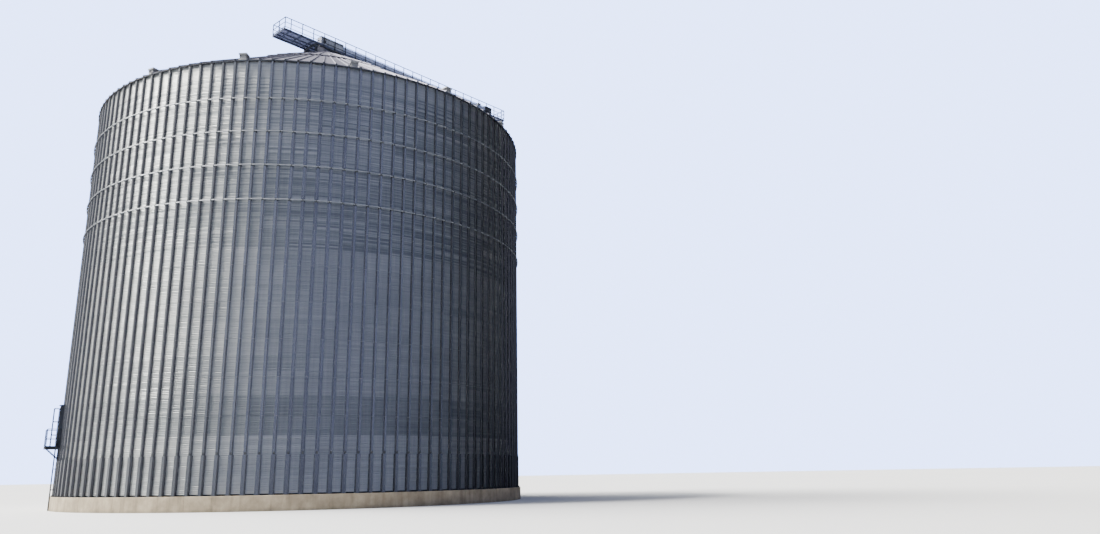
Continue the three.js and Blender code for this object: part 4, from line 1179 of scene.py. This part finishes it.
# Side platform, its ladder and the wall door, in a frame with X outwards through the middle of a panel
platformPanel = 59
platformTurn = platformPanel * panelAngle
hatFace = lightHat["face"] / 2
seatX = silo["stiffenerRadius"] * math.cos(halfPanel) + hatFace * math.sin(halfPanel) + contactGap
platform = {
    "z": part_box("platform_deck")[1].z, "bottom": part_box("platform_deck")[0].z, "depth": 0.820, "width": 1.700,
    "frame": 0.060, "steel": 0.008,
    "bearers": 7, "bearer": (0.003, 0.012, 0.004),       # half thickness, and its edges under the deck
    "barPitch": 0.034, "bar": (0.002, 0.030, 0.0005),    # the same of a grating bar
    "bracketY": silo["stiffenerRadius"] * math.sin(halfPanel), "bracket": 0.060, "web": 0.004,
    "bracketBolts": (0.050, 0.350), "boltSide": 0.018,
    "railTop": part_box("platform_railing")[1].z, "tube": 0.021, "thin": 0.017,
    "postFoot": (0.020, 0.008), "kickPlate": (0.003, 0.010, 0.110),    # half sizes, and heights over the deck
}


def makePlatform():
    deck, bottom, steel = platform["z"], platform["bottom"], platform["steel"]
    inner, outer, half = seatX, seatX + platform["depth"], platform["width"] / 2
    under, wide, web = deck - platform["frame"], platform["bracket"] / 2, platform["web"]
    thin, low, high = platform["bearer"]
    bm = bmesh.new()
    for y in (-half, half - steel):
        addBox(bm, (inner, y, under), (outer, y + steel, deck))
    for x in (inner, outer - steel):
        addBox(bm, (x, -half, under), (x + steel, half, deck))
    for i in range(platform["bearers"]):
        x = inner + (i + 1) * platform["depth"] / (platform["bearers"] + 1)
        addBox(bm, (x - thin, -half, deck - low), (x + thin, half, deck - high))
    for side in (-1, 1):
        y = side * platform["bracketY"]
        addBox(bm, (inner, y - wide, bottom), (inner + steel, y + wide, deck - 0.01))
        addBox(bm, (inner, y - web, bottom), (inner + 0.05, y + web, deck - 0.01))
        foot, head = Vector((inner + 0.02, y, bottom + 0.07)), Vector((outer - 0.07, y, under + 0.01))
        for reach, drop in ((wide, 0.008), (web, 0.06)):
            section = ((-reach, 0), (reach, 0), (reach, drop), (-reach, drop))
            addPrism(bm, [foot + Vector((0, dy, dz)) for dy, dz in section], head - foot)
        for rise in platform["bracketBolts"]:
            for dy in (-platform["boltSide"], platform["boltSide"]):
                addBoltHead(bm, (inner + steel, y + dy, bottom + rise), (1, 0, 0))
    makePiece("platformFrame", bm, darkFinish, ["platform_deck"], turn=platformTurn)
    pitch = platform["barPitch"]
    thin, low, high = platform["bar"]
    bm = bmesh.new()
    addBox(bm, (inner + 0.004, -thin, deck - low), (outer - 0.004, thin, deck - high))
    growPiece("platformGrating", rowTree, bm, darkFinish, {
        "Count": int(platform["width"] / pitch), "Start": (0, -half + pitch / 2, 0), "Step": (0, pitch, 0)},
        turn=platformTurn)


def makePlatformRailing():
    deck, tube, top = platform["z"], platform["tube"], platform["railTop"] - platform["tube"]
    inner, outer, half = seatX + tube, seatX + platform["depth"] - tube, platform["width"] / 2 - tube
    corners = [(inner, -half), (outer, -half), (outer, half), (inner, half)]
    wide, thick = platform["postFoot"]
    bm = bmesh.new()
    for x, y in corners + [(outer, 0.0)]:
        addTube(bm, [(x, y, deck), (x, y, top)], tube)
        addBox(bm, (x - wide, y - wide, deck), (x + wide, y + wide, deck + thick))
    for z, radius in ((top, tube), ((deck + platform["railTop"]) / 2, platform["thin"])):
        for start, end in zip(corners, corners[1:]):
            addTube(bm, [(*start, z), (*end, z)], radius)
    thin, low, high = platform["kickPlate"]
    for pair in zip(corners, corners[1:]):
        (x0, y0), (x1, y1) = sorted(pair)
        addBox(bm, (x0 - thin, y0 - thin, deck + low), (x1 + thin, y1 + thin, deck + high))
    makePiece("platformRailing", bm, railFinish, ["platform_railing"], turn=platformTurn)


ladder = {"x": seatX + 0.200, "half": 0.200, "stile": 0.045, "rung": 0.014, "pitch": 0.300,
          "lugs": (1.300, 2.600),    # their heights
          "lug": (0.004, 0.020), "lugPlate": (0.006, 0.040, 0.050)}


def makeLadder():
    x, half, wide = ladder["x"], ladder["half"], ladder["stile"] / 2
    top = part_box("access_ladder")[1].z
    thin, high = ladder["lug"]
    steel, across, up = ladder["lugPlate"]
    bm = bmesh.new()
    for side in (-1, 1):
        y, seat = side * half, side * platform["bracketY"]
        addBox(bm, (x - wide, y - wide, 0), (x + wide, y + wide, top), bevel=0.005)
        for z in ladder["lugs"]:
            section = ((-thin, -high), (thin, -high), (thin, high), (-thin, high))
            addPrism(bm, [(seatX, seat + dy, z + dz) for dy, dz in section], (x - seatX - wide, y - seat, 0))
            addBox(bm, (seatX, seat - across, z - up), (seatX + steel, seat + across, z + up))
    for i in range(int((top - ladder["pitch"] / 2) / ladder["pitch"])):
        z = (i + 1) * ladder["pitch"]
        addTube(bm, [(x, -half, z), (x, half, z)], ladder["rung"], 8)
    makePiece("accessLadder", bm, railFinish, ["access_ladder"], turn=platformTurn)


door = {
    "half": 0.310, "height": 2.780, "face": 16.340, "hoodSide": 0.060, "hoodFront": 0.090,
    "leaves": ((0.08, 1.25), (1.33, 2.68)),    # heights above the platform
    "edge": 0.070, "proud": 0.025, "hinge": 0.011, "hingeIn": 0.150,
    "grip": 0.007, "handle": ((0.0, 0.10), (0.035, 0.11), (0.035, 0.24), (0.0, 0.25)),
}


def makeDoor():
    half, face, leaf = door["half"], door["face"], door["face"] + door["proud"]
    back = silo["wallRadius"] + contactGap
    foot, top = platform["z"] + contactGap, platform["z"] + door["height"]
    wide, front = half + door["hoodSide"], face + door["hoodFront"]
    bm = bmesh.new()
    addBox(bm, (back, -half, foot), (face, half, top), bevel=0.006)
    hood = [(back + 0.02, top + 0.02), (front, top - 0.025), (front, top - 0.04), (back + 0.02, top - 0.04)]
    addPrism(bm, [(x, -wide, z) for x, z in hood], (0, 2 * wide, 0))
    makePiece("doorHousing", bm, darkFinish, ["wall_door"], turn=platformTurn)
    inside = half - door["edge"]
    hinge, grip = (face + 0.015, inside + 0.012), 0.06 - inside
    bm = bmesh.new()
    for low, high in door["leaves"]:
        middle = foot + (low + high) / 2
        addBox(bm, (face - 0.002, -inside, foot + low), (leaf, inside, foot + high), bevel=0.01)
        addBox(bm, (leaf, 0.05 - inside, middle - 0.012), (leaf + 0.006, inside - 0.05, middle + 0.012))
        for z in (foot + low + door["hingeIn"], foot + high - door["hingeIn"]):
            addTube(bm, [(*hinge, z - 0.05), (*hinge, z + 0.05)], door["hinge"], 8)
        addTube(bm, [(leaf + proud, grip, middle + rise) for proud, rise in door["handle"]], door["grip"], 8)
    makePiece("doorLeaves", bm, sectionFinish, turn=platformTurn)


makePlatform()
makePlatformRailing()
makeLadder()
makeDoor()
print("platform made")


# Nodes whose CAD shape stays, with a finish of their own
keptFinishes = {
    "floor_slab": concreteFinish, "base_ring": darkFinish,
    "peak_frame": darkFinish, "roof_trestle": darkFinish, "eave_trestle": darkFinish,
    "knee_brace_near": darkFinish, "knee_brace_far": darkFinish, "conveyor_inlet": tubeFinish,
    "conveyor_spout": tubeFinish, "platform_guard_frame": darkFinish,
}
for name, finish in keptFinishes.items():
    nodes[name].data.materials.clear()
    nodes[name].data.materials.append(finish)


# Floor, light and camera
def makeFloor():
    bm = bmesh.new()
    radius, sides = 1500.0, 96
    bm.faces.new([bm.verts.new(pointAt(radius, a, -0.003)) for a in turnsOf(sides)])
    mesh = toMesh("studioFloor", bm)
    material, tree, shader = startMaterial("paleFloor")
    place = addNode(tree, "ShaderNodeTexCoord").outputs["Object"]
    cloud = addNode(tree, "ShaderNodeTexNoise", {"Vector": place, "Scale": 0.05, "Detail": 4.0})
    colour = addNode(tree, "ShaderNodeMix", {"Factor": cloud, 6: toLinear("#d8dadd"), 7: toLinear("#e2e4e6")},
                     data_type="RGBA")
    setInputs(tree, shader, {"Base Color": colour.outputs[2], "Roughness": 0.95})
    mesh.materials.append(material)
    floor = toObject("studioFloor", mesh)
    floor.visible_glossy = False
    floor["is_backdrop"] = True


# A pale backdrop for the eye. The light is a soft key from above, a broad glow under it, and a sky that is
# dim to the right of the camera: rows of colours by bearing in degrees for the ground, near the horizon and
# higher up, and one for the glow. Its heights are the direction's Z where it starts, is full, and ends.
key = {"bearing": math.radians(148), "elevation": math.radians(58), "power": 4.0, "spread": math.radians(10),
       "colour": "#fffaf2"}
sky = {"backdrop": "#a6bdfa", "backdropStrength": 7.0, "strength": 2.0,
       "ground": ((62, "#2a2b2e"), (86, "#6a6a6c"), (115, "#b8b8b8"), (145, "#d8d8d8"),
                  (176, "#707276"), (240, "#44464b"), (290, "#36383d"),
                  (328, "#141518"), (407, "#08090a")),
       "low": ((62, "#111214"), (72, "#565657"), (84, "#cfcfd0"), (118, "#bcbcbc"),
               (150, "#a4a5a9"), (182, "#9b9ea3"), (208, "#858ba1"), (240, "#696f8a"), (273, "#6a7089"),
               (305, "#51586e"), (328, "#101217"), (350, "#050607"), (407, "#050607")),
       "high": ((62, "#8a8b90"), (84, "#b2b3b6"), (150, "#9a9b9d"), (182, "#9c9fa5"), (240, "#6c7289"),
                (273, "#868da8"), (305, "#c4cbe4"), (336, "#cdd3ea"), (366, "#a3a9c0"), (396, "#858a9e"),
                (410, "#707278")),
       "glow": ((62, "#000000"), (82, "#66645e"), (98, "#c8c6be"), (112, "#f2efe8"), (128, "#fffaf2"),
                (142, "#dcd9d2"), (155, "#8e8b85"), (170, "#3e3c39"), (185, "#000000"), (407, "#000000")),
       "glowStrength": 56.0, "glowHeights": (0.48, 0.54, 0.64, 0.86), "highFrom": (0.78, 0.95)}


# The direction of a bearing and an elevation
def pointing(bearing, elevation):
    level = math.cos(elevation)
    return Vector((math.cos(bearing) * level, math.sin(bearing) * level, math.sin(elevation)))


# Colours by bearing, from the first stop round to the last
def addRamp(tree, turn, around):
    seam = around[0][0]
    ramp = addNode(tree, "ShaderNodeValToRGB", {"Fac": turn})
    stops = ramp.color_ramp.elements
    stops.remove(stops[1])
    stops[0].color = toLinear(around[0][1])
    for degrees, colour in around[1:]:
        stops.new((degrees - seam) / 360).color = toLinear(colour)
    return ramp


def makeLight():
    world = bpy.data.worlds.new("studioSky")
    scene.world = world
    world.use_nodes = True
    tree = world.node_tree
    tree.nodes.clear()
    towards = addNode(tree, "ShaderNodeTexCoord").outputs["Generated"]
    direction = addNode(tree, "ShaderNodeSeparateXYZ", {0: towards})
    upward = direction.outputs["Z"]
    bearing = addNode(tree, "ShaderNodeMath", {0: direction.outputs["Y"], 1: direction.outputs["X"]},
                      operation="ARCTAN2")
    shifted = addNode(tree, "ShaderNodeMath", {0: bearing, 1: 1 / (2 * math.pi),
                                               2: 1 - sky["low"][0][0] / 360},
                      operation="MULTIPLY_ADD")
    turn = addNode(tree, "ShaderNodeMath", {0: shifted}, operation="FRACT")
    rise = addNode(tree, "ShaderNodeMapRange", {"Value": upward, "From Min": sky["highFrom"][0],
                                                "From Max": sky["highFrom"][1]},
                   interpolation_type="SMOOTHSTEP")
    dome = addNode(tree, "ShaderNodeMix", {"Factor": rise, 6: addRamp(tree, turn, sky["low"]),
                                           7: addRamp(tree, turn, sky["high"])}, data_type="RGBA")
    over = addNode(tree, "ShaderNodeMapRange", {"Value": upward, "From Min": -0.04, "From Max": 0.02})
    tint = addNode(tree, "ShaderNodeMix", {"Factor": over, 6: addRamp(tree, turn, sky["ground"]),
                                           7: dome.outputs[2]}, data_type="RGBA")
    start, full, last, end = sky["glowHeights"]
    window = addNode(tree, "ShaderNodeMapRange", {"Value": upward, "From Min": start, "From Max": full},
                     interpolation_type="SMOOTHSTEP")
    window = addNode(tree, "ShaderNodeMapRange", {"Value": upward, "From Min": last, "From Max": end,
                                                  "To Min": window, "To Max": 0.0},
                     interpolation_type="SMOOTHSTEP")
    glow = addNode(tree, "ShaderNodeVectorMath", {0: addRamp(tree, turn, sky["glow"]), "Scale": window},
                   operation="SCALE")
    glow = addNode(tree, "ShaderNodeVectorMath", {0: glow, "Scale": sky["glowStrength"] / sky["strength"]},
                   operation="SCALE")
    glowing = addNode(tree, "ShaderNodeVectorMath", {0: glow, 1: tint.outputs[2]}, operation="ADD")
    lit = addNode(tree, "ShaderNodeBackground", {"Color": glowing, "Strength": sky["strength"]})
    seen = addNode(tree, "ShaderNodeBackground", {"Color": toLinear(sky["backdrop"]),
                                                  "Strength": sky["backdropStrength"]})
    eye = addNode(tree, "ShaderNodeLightPath").outputs["Is Camera Ray"]
    mixed = addNode(tree, "ShaderNodeMixShader", {0: eye, 1: lit, 2: seen})
    addNode(tree, "ShaderNodeOutputWorld", {"Surface": mixed})
    lamp = bpy.data.lights.new("keyLight", "SUN")
    lamp.energy = key["power"]
    lamp.angle = key["spread"]
    lamp.color = toLinear(key["colour"])[:3]
    source = bpy.data.objects.new("keyLight", lamp)
    scene.collection.objects.link(source)
    sunward = pointing(key["bearing"], key["elevation"])
    source.rotation_euler = sunward.to_track_quat("Z", "Y").to_euler()


# The photograph's view: eye height, distance and lens solved from both outlines of the wall
view = {"distance": 66.96, "bearing": math.radians(-122.0), "eye": 1.740, "heading": math.radians(41.671),
        "pitch": math.radians(14.020), "roll": math.radians(0.986), "focalPixels": 829.9, "framePixels": 1100}


def makeCamera():
    data = bpy.data.cameras.new("photoCamera")
    data.sensor_width = 36.0
    data.sensor_fit = "HORIZONTAL"
    data.lens = data.sensor_width * view["focalPixels"] / view["framePixels"]
    data.clip_end = 5000.0
    camera = bpy.data.objects.new("photoCamera", data)
    scene.collection.objects.link(camera)
    ahead, roll = pointing(view["heading"], view["pitch"]), view["roll"]
    right = ahead.cross(Vector((0, 0, 1))).normalized()
    up = right.cross(ahead)
    camX = right * math.cos(roll) - up * math.sin(roll)
    camY = right * math.sin(roll) + up * math.cos(roll)
    turn = Matrix((camX, camY, -ahead)).transposed().to_4x4()
    spot = view["distance"] * pointing(view["bearing"], 0) + Vector((0, 0, view["eye"]))
    camera.matrix_world = Matrix.Translation(spot) @ turn
    scene.camera = camera


makeFloor()
makeLight()
makeCamera()

total = 0
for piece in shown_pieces():
    piece.data.calc_loop_triangles()
    count = len(piece.data.loop_triangles)
    total += count
    print("triangles", piece.name, count)
print("triangles in all", total)
